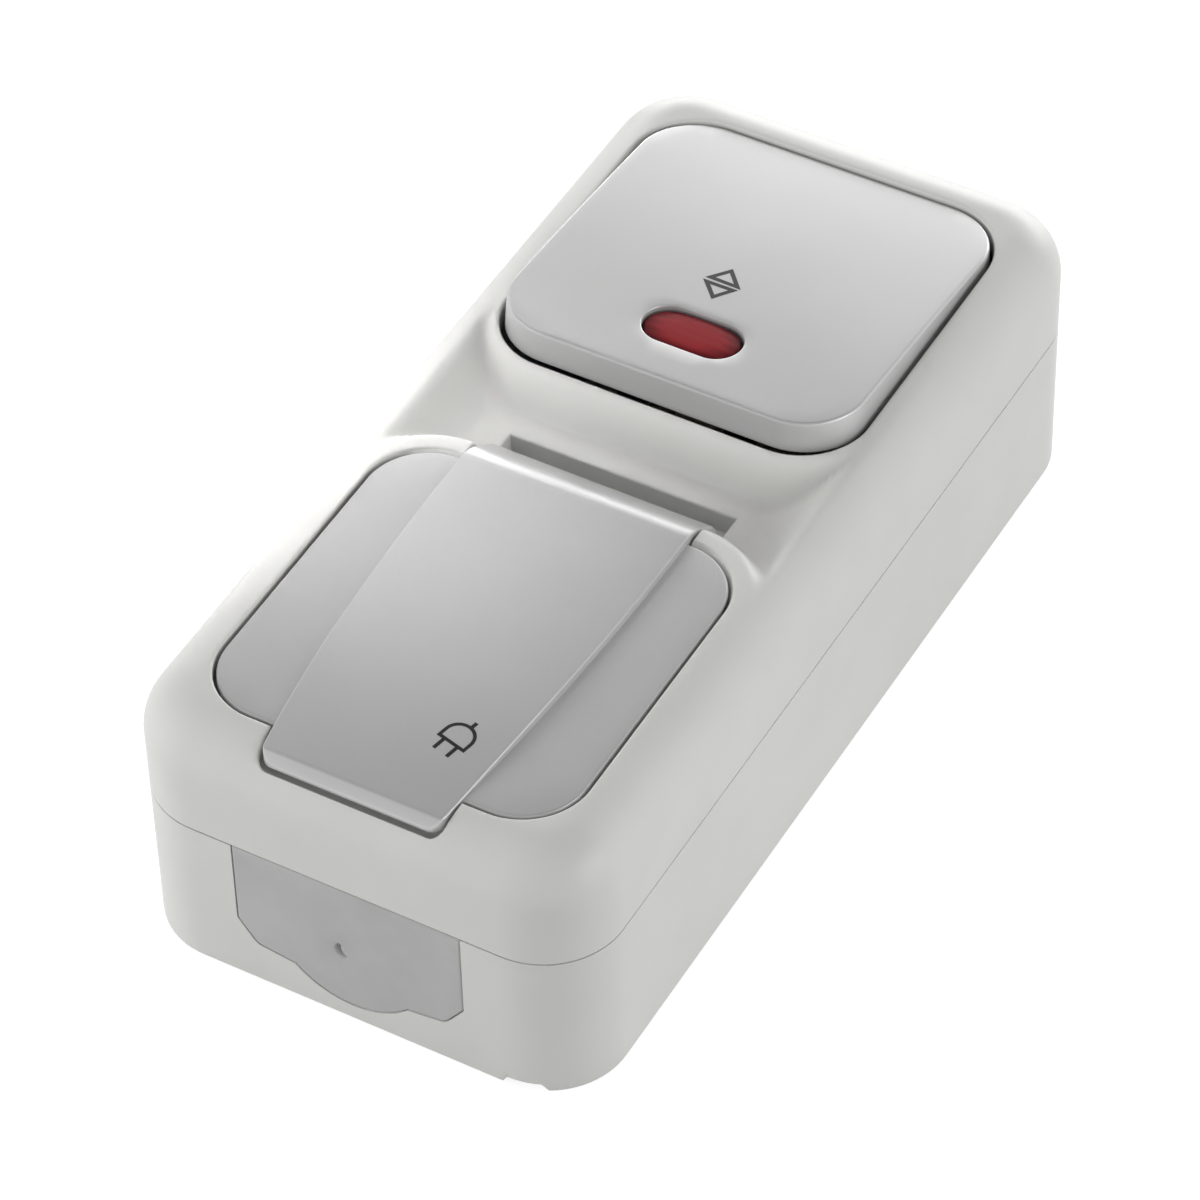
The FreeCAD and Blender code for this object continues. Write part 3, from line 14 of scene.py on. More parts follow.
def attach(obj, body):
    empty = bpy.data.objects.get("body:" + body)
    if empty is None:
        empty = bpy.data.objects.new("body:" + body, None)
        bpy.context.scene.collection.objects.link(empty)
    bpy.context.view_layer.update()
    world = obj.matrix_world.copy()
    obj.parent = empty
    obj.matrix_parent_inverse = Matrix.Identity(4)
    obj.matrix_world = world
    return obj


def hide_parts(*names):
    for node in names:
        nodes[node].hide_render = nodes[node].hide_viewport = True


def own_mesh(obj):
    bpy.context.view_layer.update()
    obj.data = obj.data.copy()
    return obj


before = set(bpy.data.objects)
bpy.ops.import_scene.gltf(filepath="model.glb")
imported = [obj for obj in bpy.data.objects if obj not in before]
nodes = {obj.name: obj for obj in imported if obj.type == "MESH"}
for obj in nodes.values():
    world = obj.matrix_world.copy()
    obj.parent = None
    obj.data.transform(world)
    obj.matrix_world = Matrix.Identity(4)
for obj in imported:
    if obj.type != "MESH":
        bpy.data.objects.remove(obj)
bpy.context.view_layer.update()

MM = 0.001
WELD = 2e-6  # metres; points closer than this become one
SLIVER = 1e-7  # metres; shorter edges are dissolved
COARSE = 6.0  # grid spacing of large flat sheets

# Housing; here and below a plan holds half width, low end, high end and corner radius
HALF_WIDTH = 35.0
HALF_LENGTH = 73.8
CORNER = 11.5
OUTLINE = (HALF_WIDTH, -HALF_LENGTH, HALF_LENGTH, CORNER)
TOP = 43.0
SHOULDER = 8.0
SHOULDER_TRIM = 1.2  # inset where the band round the outline ends and the top sheet begins
BASE_WALL = 3.0
BASE_FLOOR = 2.5
COVER_WALL = 2.5

# Seam between base and cover
SEAM = 25.3
SEAM_GAP = 0.13  # half the height of the shadow gap
SEAM_DEPTH = 0.6
LIP_INSET = 0.06  # small bevel on both lips of the gap
LIP_HEIGHT = 0.08
GROOVE_INNER = 2.2  # the seal's groove, from this inset to the next
GROOVE_OUTER = 0.8
GROOVE_DEPTH = 1.1

# Posts, screw holes and drain of the housing
POST_RADIUS = 4.0
POST_BORE = 1.7
POST_BORE_FOOT = 3.4
POST_PLACES = ((23.2, 58.8), (-23.2, 58.8), (23.2, -58.8), (-23.2, -58.8))
HEAD_RADIUS = 2.7  # sunk room for the head of a cover screw
HEAD_SEAT = 37.0
LUG_TOP = 30.0
LUG_REACH = 9.8
LUG_HALF = 2.0
PAD_TOP = 4.0
PAD_BORE_FOOT = 1.6
PAD_PLACES = ((17.0, -31.5), (-17.0, -47.1), (12.0, 48.45), (-12.0, 25.45))
MOUNT_RADIUS = 2.2
MOUNT_PLACES = ((26.0, 66.0), (-26.0, 66.0), (26.0, -66.0), (-26.0, -66.0))
FOOT_ROUND = 0.5  # soft edge round the back
DRAIN_FROM = 23.49
DRAIN_TO = 28.3
DRAIN_TOP = 1.5

# Cable entry in the lower wall
ENTRY_HALF = 17.25
ENTRY_TOP = 25.2
ENTRY_GAP = 0.1
ENTRY_FACE = 0.02  # how far its face stands back from the wall's

# Trough, hood and apron of the cover
TROUGH_FLOOR = 35.7
TROUGH_FLAT = 17.0
TROUGH_RIM = 29.5
TROUGH_END = 30.0
STEEP = 1 / math.tan(math.radians(30))
TROUGH_BLEND = 3.0  # heights over which the forms run into each other
SLOPE_BLEND = 2.0
SHOULDER_BLEND = 1.4
HOOD = (30.5, -69.55, -8.55, 12.6)
APRON = (28.95, 7.85, 66.05, 11.1)
ROCKER_OPENING = (28.05, 8.75, 65.15, 10.2)
ROCKER_ROOM = (31.0, 8.75, 68.0, 10.2)
LID_ROOM = (30.0, -69.05, -17.05, 9.1)
RIM_ROUND = 0.35
CEILING = 31.5
LIP_UNDERSIDE = 39.5

# Recess of the lid
RECESS_FLOOR = 39.4
RECESS_UNDERSIDE = 37.4
RECESS_HALF = 27.5
RECESS_FRONT = -66.55
RECESS_CORNER = 9.6
RECESS_GAP = 0.5  # room behind the hinge edge of the lid's wings
SOCKET_Y = -39.3
SOCKET_RADIUS = 21.5
THROAT_HALF = 17.55
GUTTER_NEAR = -10.7
GUTTER_FAR = 0.75
GUTTER_FLOOR = 33.0
STEP = 0.001  # two points this far apart mark the step down to the gutter
TIP_GAP = 0.28  # shadow gap round the lid's finger tip
NOTCH_CORNER = 1.8

# Lid: wings, and a raised panel that ends in a finger tip
LID_TOP = 42.8
LID_UNDERSIDE = 40.4
LID_SLANT = math.tan(math.radians(50))
WING_HALF = 27.0
WING_FRONT = -66.05
WING_BACK = -12.05
WING_CORNER = 9.1
WING_EDGE = 0.45
HOLLOW = (13.5, -61.0, -17.0, 1.6)
HOLLOW_TOP = 41.3
PANEL_TOP = 44.0
PANEL_HALF = 17.2
PANEL_EDGE = 0.3
PANEL_UNDERSIDE = 40.45
TAPER_START = -13.0
TAPER_LENGTH = 56.5
ARC_START = -70.55  # shallow arc along the panel's top
ARC_LENGTH = 25.55
ARC_FOOT = 42.65
TIP_FRONT = -71.3
TIP_HALF = 13.6
TIP_CORNER = 2.2
HINGE_Y = -7.0
HINGE_HEIGHT = 37.8
BARREL_RADIUS = 2.8

# Rocker: its own frame stands on the pivot and leans back
PIVOT = np.array([0.0, 36.95, 38.0])
LEAN = math.radians(-5)
CAP = (27.5, -27.65, 27.65, 9.65)
CAP_TOP = 7.5
CAP_CROWN = 0.6
CAP_CEILING = 5.7
CAP_EDGE = 0.45
DRAFT = math.tan(math.radians(2.4))
DRAFT_FOOT = -0.3  # height at which the drafted wall has the full plan
SKIRT = 2.2
WINDOW = (7.5, -20.7, -12.7, 4.0)
WINDOW_ROUND = 0.25
LENS = (7.2, -20.4, -13.0, 3.7)
LENS_FOOT = 5.0
LENS_EDGE = 0.5

# Plunger's spring, on the rocker's own axis
COIL_RADIUS = 1.9
COIL_WIRE = 0.3
COIL_PITCH = 2.0
COIL_LOW = -7.85
COIL_HIGH = -2.4

# Section of a printed line: share of its width, and lift
INK_SECTION = ((-0.5, -0.05), (-0.47, 0.025), (0.47, 0.025), (0.5, -0.05), (-0.5, -0.05))


# Surfaces

def arc(x, y, radius, turn):
    """Points on a circle: the middle plus the radius times cosine and sine of the turn."""
    return np.stack([x + radius * np.cos(turn), y + radius * np.sin(turn)], -1)


def circle(x, y, radius, steps=48):
    """Closed ring of points at even turns."""
    return arc(x, y, radius, np.linspace(0, 2 * np.pi, steps, endpoint=False))


def rounded_rectangle(plan, inset=0.0, corner_steps=16, side_steps=40):
    """Closed loop, anticlockwise: four quarter circles, each followed by an evenly split straight side. The
    plan is pulled in by the inset on all sides."""
    half_x, low, high, radius = np.array(plan) + np.array([-1, 1, -1, -1]) * inset
    turn = np.arange(4)[:, None] * np.pi / 2 + np.linspace(0, np.pi / 2, corner_steps)
    middle_x = (half_x - radius) * np.array([1, -1, -1, 1])[:, None]
    middle_y = np.array([high - radius, high - radius, low + radius, low + radius])[:, None]
    arcs = arc(middle_x, middle_y, radius, turn)
    share = np.linspace(0, 1, side_steps + 2)[1:-1, None]
    sides = arcs[:, -1:] * (1 - share) + np.roll(arcs, -1, axis=0)[:, :1] * share
    return np.concatenate([arcs, sides], 1).reshape(-1, 2)


def unit(vectors):
    """One vector, or rows of them, at a length of one."""
    return vectors / np.maximum(np.linalg.norm(vectors, axis=-1, keepdims=True), 1e-9)


def soften(corners, steps):
    """Closed loop of straight runs; a circle that touches both runs replaces each corner (a, b, radius)."""
    corners = np.asarray(corners, float)
    point, radius = corners[:, :2], corners[:, 2:]
    back = unit(np.roll(point, 1, axis=0) - point)
    ahead = unit(np.roll(point, -1, axis=0) - point)
    half = np.arccos(np.clip((back * ahead).sum(1, keepdims=True), -1, 1)) / 2
    middle = point + unit(back + ahead) * radius / np.sin(half)
    first = point + back * radius / np.tan(half) - middle
    last = point + ahead * radius / np.tan(half) - middle
    begin = np.arctan2(first[:, 1], first[:, 0])[:, None]
    end = np.arctan2(last[:, 1], last[:, 0])[:, None]
    sweep = (end - begin + np.pi) % (2 * np.pi) - np.pi
    turn = begin + sweep * np.linspace(0, 1, steps)
    return (middle[:, None] + radius[:, None] * np.stack([np.cos(turn), np.sin(turn)], -1)).reshape(-1, 2)


def split(loop, spacing):
    """The same closed loop with extra points at even steps of its length."""
    closed = np.concatenate([loop, loop[:1]])
    length = np.concatenate([[0], np.cumsum(np.linalg.norm(np.diff(closed, axis=0), axis=1))])
    steps = np.union1d(length.round(5), np.arange(0, length[-1], spacing).round(5))[:-1]
    return np.stack([np.interp(steps, length, closed[:, axis]) for axis in (0, 1)], -1)


def thinned(loop):
    """The same closed loop without points under a twentieth of a millimetre from the one before."""
    return loop[np.linalg.norm(loop - np.roll(loop, 1, axis=0), axis=1) > 0.05]


def pulled_in(loop, inset):
    """Loop moved inwards along the mean of the normals of the two runs that meet at each point."""
    ahead = unit(np.roll(loop, -1, axis=0) - loop)
    both = unit(ahead + np.roll(ahead, 1, axis=0))
    x, y = loop.T
    side = np.sign((x * np.roll(y, -1) - np.roll(x, -1) * y).sum())
    stretch = np.maximum((both * ahead).sum(1, keepdims=True), 0.5)
    return loop + side * inset * np.stack([-both[:, 1], both[:, 0]], -1) / stretch


def distance_outside(x, y, plan):
    """Distance to a rounded rectangle, counted negative inside it."""
    half_x, low, high, radius = plan
    across = np.abs(x) - half_x + radius
    along = np.abs(y - (low + high) / 2) - (high - low) / 2 + radius
    outside = np.hypot(np.maximum(across, 0), np.maximum(along, 0))
    return outside + np.minimum(np.maximum(across, along), 0) - radius


def soft_max(a, b, width):
    """The larger of two heights, with a parabola of that width of height where they cross."""
    share = np.clip(0.5 + 0.5 * (a - b) / width, 0, 1)
    return b + (a - b) * share + width * share * (1 - share)


def soft_min(a, b, width):
    """The smaller of two heights, rounded over the same way."""
    return -soft_max(-a, -b, width)


def raised(loop, height):
    """Plan loop lifted to a height, or to a height for each point."""
    return np.column_stack([loop, np.broadcast_to(height, len(loop))])


def quarter_round(radius, steps=5):
    """Pairs (inset, rise) on a quarter circle from an upright wall, inset 0, to a flat top, rise 0."""
    turn = np.linspace(0, np.pi / 2, steps)
    return np.stack([radius * (1 - np.cos(turn)), radius * (np.sin(turn) - 1)], -1)


def band(rows, closed=True):
    """Strip of quads between rows of points: a profile carried along a path, closed or open."""
    rows = np.asarray(rows, float)
    index = np.arange(rows.shape[0] * rows.shape[1]).reshape(rows.shape[:2])
    here, after = (index, np.roll(index, -1, axis=1)) if closed else (index[:, :-1], index[:, 1:])
    quads = np.stack([here[:-1], after[:-1], after[1:], here[1:]], -1).reshape(-1, 4)
    return rows.reshape(-1, 3), quads


def inside(points, loops):
    """True where a line to the right of a point crosses the loops an odd number of times."""
    start = np.concatenate(loops)
    end = np.concatenate([np.roll(loop, -1, axis=0) for loop in loops])
    x, y = points[:, :1], points[:, 1:]
    straddles = (start[:, 1] > y) != (end[:, 1] > y)
    rise = end[:, 1] - start[:, 1]
    rise = np.where(rise == 0, 1, rise)
    crossing = start[:, 0] + (end[:, 0] - start[:, 0]) * (y - start[:, 1]) / rise
    return (straddles & (x < crossing)).sum(1) % 2 == 1


def sheet(loops, surface, spacing, extra=None):
    """Surface over an outline with holes: an even grid of the two parameters is cut to the loops, joined to
    them by triangles and lifted by the surface function. Extra points may make the grid finer in one place.
    The triangles come back in single precision, so the loops are rounded to it first."""
    loops = [np.asarray(loop, np.float32).astype(float) for loop in loops]
    rim = np.concatenate(loops)
    low, high = rim.min(0), rim.max(0)
    counts = np.maximum(((high - low) / spacing).astype(int), 1)
    steps = [low[axis] + (high - low)[axis] * (np.arange(counts[axis]) + 0.5) / counts[axis]
             for axis in (0, 1)]
    grid = np.stack(np.meshgrid(*steps), -1).reshape(-1, 2)
    clear = 0.45 * spacing
    if extra is not None:
        grid = np.concatenate([grid, extra])
        clear = 0.05
    grid = grid[inside(grid, loops)]
    shares = np.array_split(rim, len(rim) // 100 + 1)
    gap = np.min([((grid - share[:, None]) ** 2).sum(-1).min(0) for share in shares], axis=0)
    grid = grid[gap > clear ** 2]
    first = np.cumsum([0] + [len(loop) for loop in loops[:-1]])
    edges = np.concatenate([
        np.stack([np.arange(len(loop)), np.roll(np.arange(len(loop)), -1)], -1) + offset
        for loop, offset in zip(loops, first)])
    flat, _, faces, *_ = delaunay_2d_cdt(np.concatenate([rim, grid]).tolist(), edges.tolist(), [], 0, 1e-6)
    flat, faces = np.array(flat), np.array(faces)
    return surface(flat), faces[inside(flat[faces].mean(1), loops)]


def level(height):
    """Surface function of a flat sheet at one height."""
    return lambda flat: raised(flat, height)


def over(height):
    """Surface function that lifts each point of a plan by a height function."""
    return lambda flat: raised(flat, height(flat))


def upright(x_at):
    """Surface function of a sheet over (y, height), at an x that a function gives for each y."""
    return lambda flat: np.column_stack([x_at(flat[:, 0]), flat])


def turned(profile, x, y):
    """Profile of (radius, height) pairs carried round an upright axis."""
    return band([raised(circle(x, y, radius), height) for radius, height in profile])


def leaning(points):
    """Points of the rocker's own frame, turned back about the pivot and moved to it."""
    turn = np.array(Matrix.Rotation(LEAN, 3, "X"))
    return points @ turn.T + PIVOT


def on_rocker(*surfaces):
    """Surfaces of the rocker's own frame, put in their place."""
    return [(leaning(points), faces) for points, faces in surfaces]


def make_piece(name, surfaces, body, material, replaced=(), sharp_angle=32):
    """Joins surfaces into one closed mesh, turns its faces outwards, hands it to its body and hides the parts
    it replaces.
    """
    offsets = np.cumsum([0] + [len(points) for points, _ in surfaces])
    faces = []
    for (_, corners), offset in zip(surfaces, offsets):
        faces += (corners + offset).tolist()
    points = np.concatenate([points for points, _ in surfaces])
    mesh = bpy.data.meshes.new(name)
    mesh.from_pydata((points * MM).tolist(), [], faces)
    shell = bmesh.new()
    shell.from_mesh(mesh)
    bmesh.ops.remove_doubles(shell, verts=shell.verts, dist=WELD)
    bmesh.ops.dissolve_degenerate(shell, edges=shell.edges, dist=SLIVER)
    bmesh.ops.recalc_face_normals(shell, faces=shell.faces)
    shell.to_mesh(mesh)
    shell.free()
    mesh.polygons.foreach_set("use_smooth", np.ones(len(mesh.polygons), bool))
    mesh.set_sharp_from_angle(angle=math.radians(sharp_angle))
    mesh.materials.append(material)
    piece = bpy.data.objects.new(name, mesh)
    bpy.context.scene.collection.objects.link(piece)
    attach(piece, body)
    if replaced:
        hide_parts(*replaced)
    return piece


# Materials

def linear(colour):
    """Linear RGBA of an sRGB hex colour."""
    channels = np.array([int(colour[i:i + 2], 16) for i in (1, 3, 5)]) / 255
    channels = np.where(channels <= 0.04045, channels / 12.92, ((channels + 0.055) / 1.055) ** 2.4)
    return (*channels.tolist(), 1.0)


def add(tree, kind, settings=None, links=None, stops=()):
    """Adds a node, sets its properties, sockets and colour stops, and links its inputs."""
    node = tree.nodes.new(kind)
    for key, value in (settings or {}).items():
        if isinstance(key, int) or key in node.inputs:
            node.inputs[key].default_value = value
        else:
            setattr(node, key, value)
    for number, (position, colour) in enumerate(stops):
        node.color_ramp.elements[number].position = position
        node.color_ramp.elements[number].color = linear(colour)
    for key, socket in (links or {}).items():
        tree.links.new(socket, node.inputs[key])
    return node


def new_material(name, **sockets):
    """Material with one principled shader, whose steady values are set on its own sockets."""
    material = bpy.data.materials.new(name)
    material.use_nodes = True
    tree = material.node_tree
    shader = tree.nodes["Principled BSDF"]
    for key, value in sockets.items():
        shader.inputs[key.replace("_", " ")].default_value = value
    place = add(tree, "ShaderNodeTexCoord").outputs["Object"]
    return material, tree, shader, place


def drive(tree, shader, **sources):
    """Links what other nodes give to the shader's sockets of those names."""
    for key, socket in sources.items():
        tree.links.new(socket, shader.inputs[key.replace("_", " ")])


def noise(tree, place, size, detail, roughness):
    """Cloudy pattern with blotches about that many millimetres wide."""
    return add(tree, "ShaderNodeTexNoise", {
        "Scale": 1 / (size * MM), "Detail": detail, "Roughness": roughness}, {"Vector": place}).outputs["Fac"]


def tinted(tree, pattern, low, high, reach=(0.3, 0.7)):
    """Colour that runs from low to high over the reach of a pattern."""
    stops = tuple(zip(reach, (low, high)))
    return add(tree, "ShaderNodeValToRGB", {}, {"Fac": pattern}, stops).outputs["Color"]


def glossed(tree, pattern, rough):
    """Roughness that runs between two values over the middle of a pattern."""
    return add(tree, "ShaderNodeMapRange", {
        "From Min": 0.3, "From Max": 0.7, "To Min": rough[0], "To Max": rough[1]},
        {"Value": pattern}).outputs["Result"]


def lifted(tree, pattern, strength, depth):
    """Normal that a pattern bends, as a relief of that many millimetres would."""
    return add(tree, "ShaderNodeBump", {"Strength": strength, "Distance": depth * MM},
               {"Height": pattern}).outputs["Normal"]


def moulded(name, low, high, rough, ior, blotch, texture, depth, flakes=0.0):
    """Moulded plastic or rubber: the colour drifts over blotches, the satin gloss varies a little, and a
    fine tool texture lifts it; blotch, texture and depth in millimetres, flakes the coat's share
    of metal."""
    material, tree, shader, place = new_material(name, IOR=ior, Metallic=flakes)
    drift = noise(tree, place, blotch, 2.0, 0.6)
    fine = noise(tree, place, texture, 2.0, 0.7)
    drive(tree, shader, Base_Color=tinted(tree, drift, low, high), Roughness=glossed(tree, fine, rough),
          Normal=lifted(tree, fine, 0.5, depth))
    return material


def metal(name, low, high, rough, scratch, depth):
    """Worked metal: streaks drawn out along one way vary its colour and gloss and lift it a little; scratch
    and depth in millimetres."""
    material, tree, shader, place = new_material(name, Metallic=1.0)
    drawn = add(tree, "ShaderNodeMapping", {"Scale": (0.12, 1.0, 1.0)}, {"Vector": place})
    streaks = noise(tree, drawn.outputs["Vector"], scratch, 4.0, 0.6)
    drive(tree, shader, Base_Color=tinted(tree, streaks, low, high), Roughness=glossed(tree, streaks, rough),
          Normal=lifted(tree, streaks, 0.3, depth))
    return material


def lens_material():
    """Ribbed red polycarbonate, satin outside: prisms 1.6 mm apart behind the face show as soft streaks,
    and the rim is darker than the middle by painted shade."""
    rib_pitch, band_at_scale_one = 1.6, 0.314
    lens_middle, rim_shade_reach = np.array([0, 20.95, 46.73]), np.array([8.2, 4.6, 12])
    material, tree, shader, place = new_material(
        "moulded_polycarbonate_red", IOR=1.585, Roughness=0.45, Specular_IOR_Level=0.1)
    ribs = add(tree, "ShaderNodeTexWave", {
        "wave_type": "BANDS", "bands_direction": "Y", "Scale": band_at_scale_one / (rib_pitch * MM),
        "Distortion": 1.5, "Detail": 2.0, "Detail Scale": 1.2}, {"Vector": place}).outputs["Fac"]
    # Spherical gradient about the lens's middle: painted shade that darkens the rim towards the dark colour
    # stop
    centred = add(tree, "ShaderNodeMapping", {
        "vector_type": "TEXTURE", "Location": lens_middle * MM, "Scale": rim_shade_reach * MM}, {"Vector": place})
    middle = add(tree, "ShaderNodeTexGradient", {"gradient_type": "SPHERICAL"},
                 {"Vector": centred.outputs["Vector"]})
    shade = add(tree, "ShaderNodeMath", {"operation": "MULTIPLY_ADD", 1: 0.1},
                {0: ribs, 2: middle.outputs["Fac"]})
    drive(tree, shader, Base_Color=tinted(tree, shade.outputs[0], "#4E1116", "#8E1F25", (0.1, 0.5)),
          Normal=lifted(tree, ribs, 0.15, 0.05))
    return material


def lamp_material():
    """Blown glass of the glow lamp: clear, with faint waves 1.5 mm long that bend the light."""
    material, tree, shader, place = new_material(
        "blown_lamp_glass", IOR=1.52, Roughness=0.03, Transmission_Weight=0.9)
    waves = noise(tree, place, 1.5, 1.0, 0.5)
    drive(tree, shader, Base_Color=tinted(tree, waves, "#F4E9E2", "#FFF7F0"),
          Normal=lifted(tree, waves, 0.2, 0.02))
    return material


# Spark-eroded mould: satin ABS in a warm light grey; its grain of 0.35 mm is coarser than the real 0.1 mm
housing_abs = moulded("moulded_abs_light_grey", "#D2D2CF", "#D8D8D5", (0.40, 0.50), 1.53, 24, 0.35, 0.012)
# Silver lacquer on ABS: aluminium flakes in a satin coat, so light runs over the keys in soft gradients
key_lacquer = moulded("silver_lacquered_abs", "#C5C5C5", "#CACACA", (0.36, 0.42), 1.50, 30, 0.3, 0.0025, 0.42)
# Urea of the plug recess: hard, a little glossy
socket_urea = moulded("moulded_urea_pale_grey", "#C4C4C1", "#CDCDCA", (0.30, 0.38), 1.57, 20, 0.4, 0.006)
# Glass-filled polyamide: dull, with pale flow marks
insulator_pa = moulded("moulded_polyamide_cream", "#CFC9B8", "#DDD8C8", (0.48, 0.6), 1.53, 6, 0.3, 0.02)
# Foamed rubber cord and ring: dark and matt
seal_rubber = moulded("foamed_rubber_black", "#1E1E1F", "#2B2B2C", (0.75, 0.88), 1.52, 3, 0.25, 0.05)
# Soft entry membrane: thermoplastic rubber, mid grey, duller than the housing
grommet_rubber = moulded("moulded_soft_rubber_grey", "#B3B4B3", "#BBBCBB", (0.55, 0.66), 1.50, 9, 0.3, 0.02)
# Pad-printed ink: nearly black, in slightly uneven tones
sign_ink = moulded("pad_printed_ink_black", "#161617", "#202021", (0.42, 0.55), 1.50, 0.6, 0.15, 0.004)
# Zinc plating: bluish bright with fine drawn marks
zinc_steel = metal("zinc_plated_steel", "#AEB4BA", "#C9CED2", (0.26, 0.4), 0.6, 0.004)
# Drawn spring wire: darker and smoother
spring_steel = metal("drawn_spring_steel", "#7E8288", "#989CA1", (0.22, 0.34), 0.4, 0.003)
# Stamped brass: yellow, with rolling marks
contact_brass = metal("stamped_brass", "#B98F45", "#D4AE66", (0.24, 0.4), 0.8, 0.004)
# Unlit red lens: deep red in the middle, with painted shade that makes it nearly brown at its rim
lens_red = lens_material()
# Glow lamp under the lens: clear glass with a warm tint
lamp_glass = lamp_material()

NODE_MATERIALS = {
    housing_abs: ("base_box", "front_cover"),
    key_lacquer: ("socket_lid", "rocker_cap"),
    socket_urea: ("socket_insert",),
    insulator_pa: ("socket_base", "switch_body", "lamp_holder", "rocker_carrier", "switch_plunger"),
    seal_rubber: ("perimeter_gasket", "lid_gasket"),
    grommet_rubber: ("cable_grommet",),
    zinc_steel: ("cover_screws", "mechanism_screws", "socket_centre_screw", "socket_terminal_screws",
                 "switch_terminal_screws", "lid_hinge_pin"),
    spring_steel: ("lid_spring", "plunger_spring", "earth_strap"),
    contact_brass: ("pin_contact_left", "pin_contact_right", "common_terminal", "traveller_terminal_lower",
                    "traveller_terminal_upper", "contact_seesaw"),
    lens_red: ("indicator_lens",),
    lamp_glass: ("indicator_lamp",),
}
for finish, names in NODE_MATERIALS.items():
    for node_name in names:
        nodes[node_name].data.materials.clear()
        nodes[node_name].data.materials.append(finish)


# Front cover

def cover_height(flat):
    """Top of the cover: a round shoulder at the rim, with the trough sunk between the hood and the apron.

    The shoulder is a quarter circle over the inset from the outline. The trough is the highest of its
    floor, its ends, which rise as a parabola, and the slopes of hood and apron, all softened where they
    meet."""
    x, y = flat.T
    inset = -distance_outside(x, y, OUTLINE)
    short = SHOULDER - np.clip(inset, 0, SHOULDER)
    shoulder = TOP - SHOULDER + np.sqrt(np.maximum(SHOULDER ** 2 - short ** 2, 0))
    reach = np.clip((np.abs(x) - TROUGH_FLAT) / (TROUGH_RIM - TROUGH_FLAT), 0, 2)
    ends = TROUGH_FLOOR + np.maximum((TOP - TROUGH_FLOOR) * reach ** 2, (np.abs(y) - TROUGH_END) * STEEP)
    hood = TOP - distance_outside(x, y, HOOD) * STEEP
    apron = TOP - distance_outside(x, y, APRON) * STEEP
    trough = soft_max(TROUGH_FLOOR, ends, TROUGH_BLEND)
    sunk = soft_max(trough, soft_max(hood, apron, SLOPE_BLEND), TROUGH_BLEND)
    return soft_min(shoulder, sunk, SHOULDER_BLEND)


def panel_half(y):
    """Half width of the lid's panel: straight at the hinge, then a shallow arc in to the finger tip."""
    share = np.clip((TAPER_START - np.asarray(y, float)) / TAPER_LENGTH, 0, 1)
    return PANEL_HALF - (PANEL_HALF - TIP_HALF) * share ** 2


def lid_back(height):
    """Place of the hinge edge of the lid's wings, which slants back towards the top."""
    return WING_BACK + (height - LID_TOP) * LID_SLANT


def lid_opening(grow, back):
    """Plan of the opening for the lid: the recess with its round corners, the finger notch at the tip and
    the throat of the hinge, as straight runs and arcs of the right half, then mirrored."""
    def run(start, end, steps):
        """Even steps from the start to just before the end."""
        return np.linspace(start, end, steps, endpoint=False)

    tip, tip_half, tip_corner = TIP_FRONT - TIP_GAP - grow, TIP_HALF + TIP_GAP + grow, NOTCH_CORNER + grow
    front, half, corner = RECESS_FRONT - grow, RECESS_HALF + grow, RECESS_CORNER + grow
    throat, far, rear = THROAT_HALF + grow, GUTTER_FAR + grow, back + grow
    low_turn, high_turn = run(-np.pi / 2, 0, 14), run(0, np.pi / 2, 16)
    notch_y = run(tip + tip_corner, front, 6)
    right = np.concatenate([
        run([0, tip], [tip_half - tip_corner, tip], 14),
        arc(tip_half - tip_corner, tip + tip_corner, tip_corner, low_turn[::2]),
        np.stack([panel_half(notch_y) + TIP_GAP + grow, notch_y], -1),
        run([panel_half(front) + TIP_GAP + grow, front], [half - corner, front], 8),
        arc(half - corner, front + corner, corner, low_turn),
        run([half, front + corner], [half, rear - corner], 36),
        arc(half - corner, rear - corner, corner, high_turn),
        run([half - corner, rear], [throat, rear], 2),
        run([throat, rear], [throat, GUTTER_NEAR - STEP], 8),
        [[throat, GUTTER_NEAR - STEP]],
        run([throat, GUTTER_NEAR], [throat, far], 20),
        run([throat, far], [0, far], 24),
        [[0, far]],
    ])
    return np.concatenate([right, (right[1:-1] * [-1, 1])[::-1]])


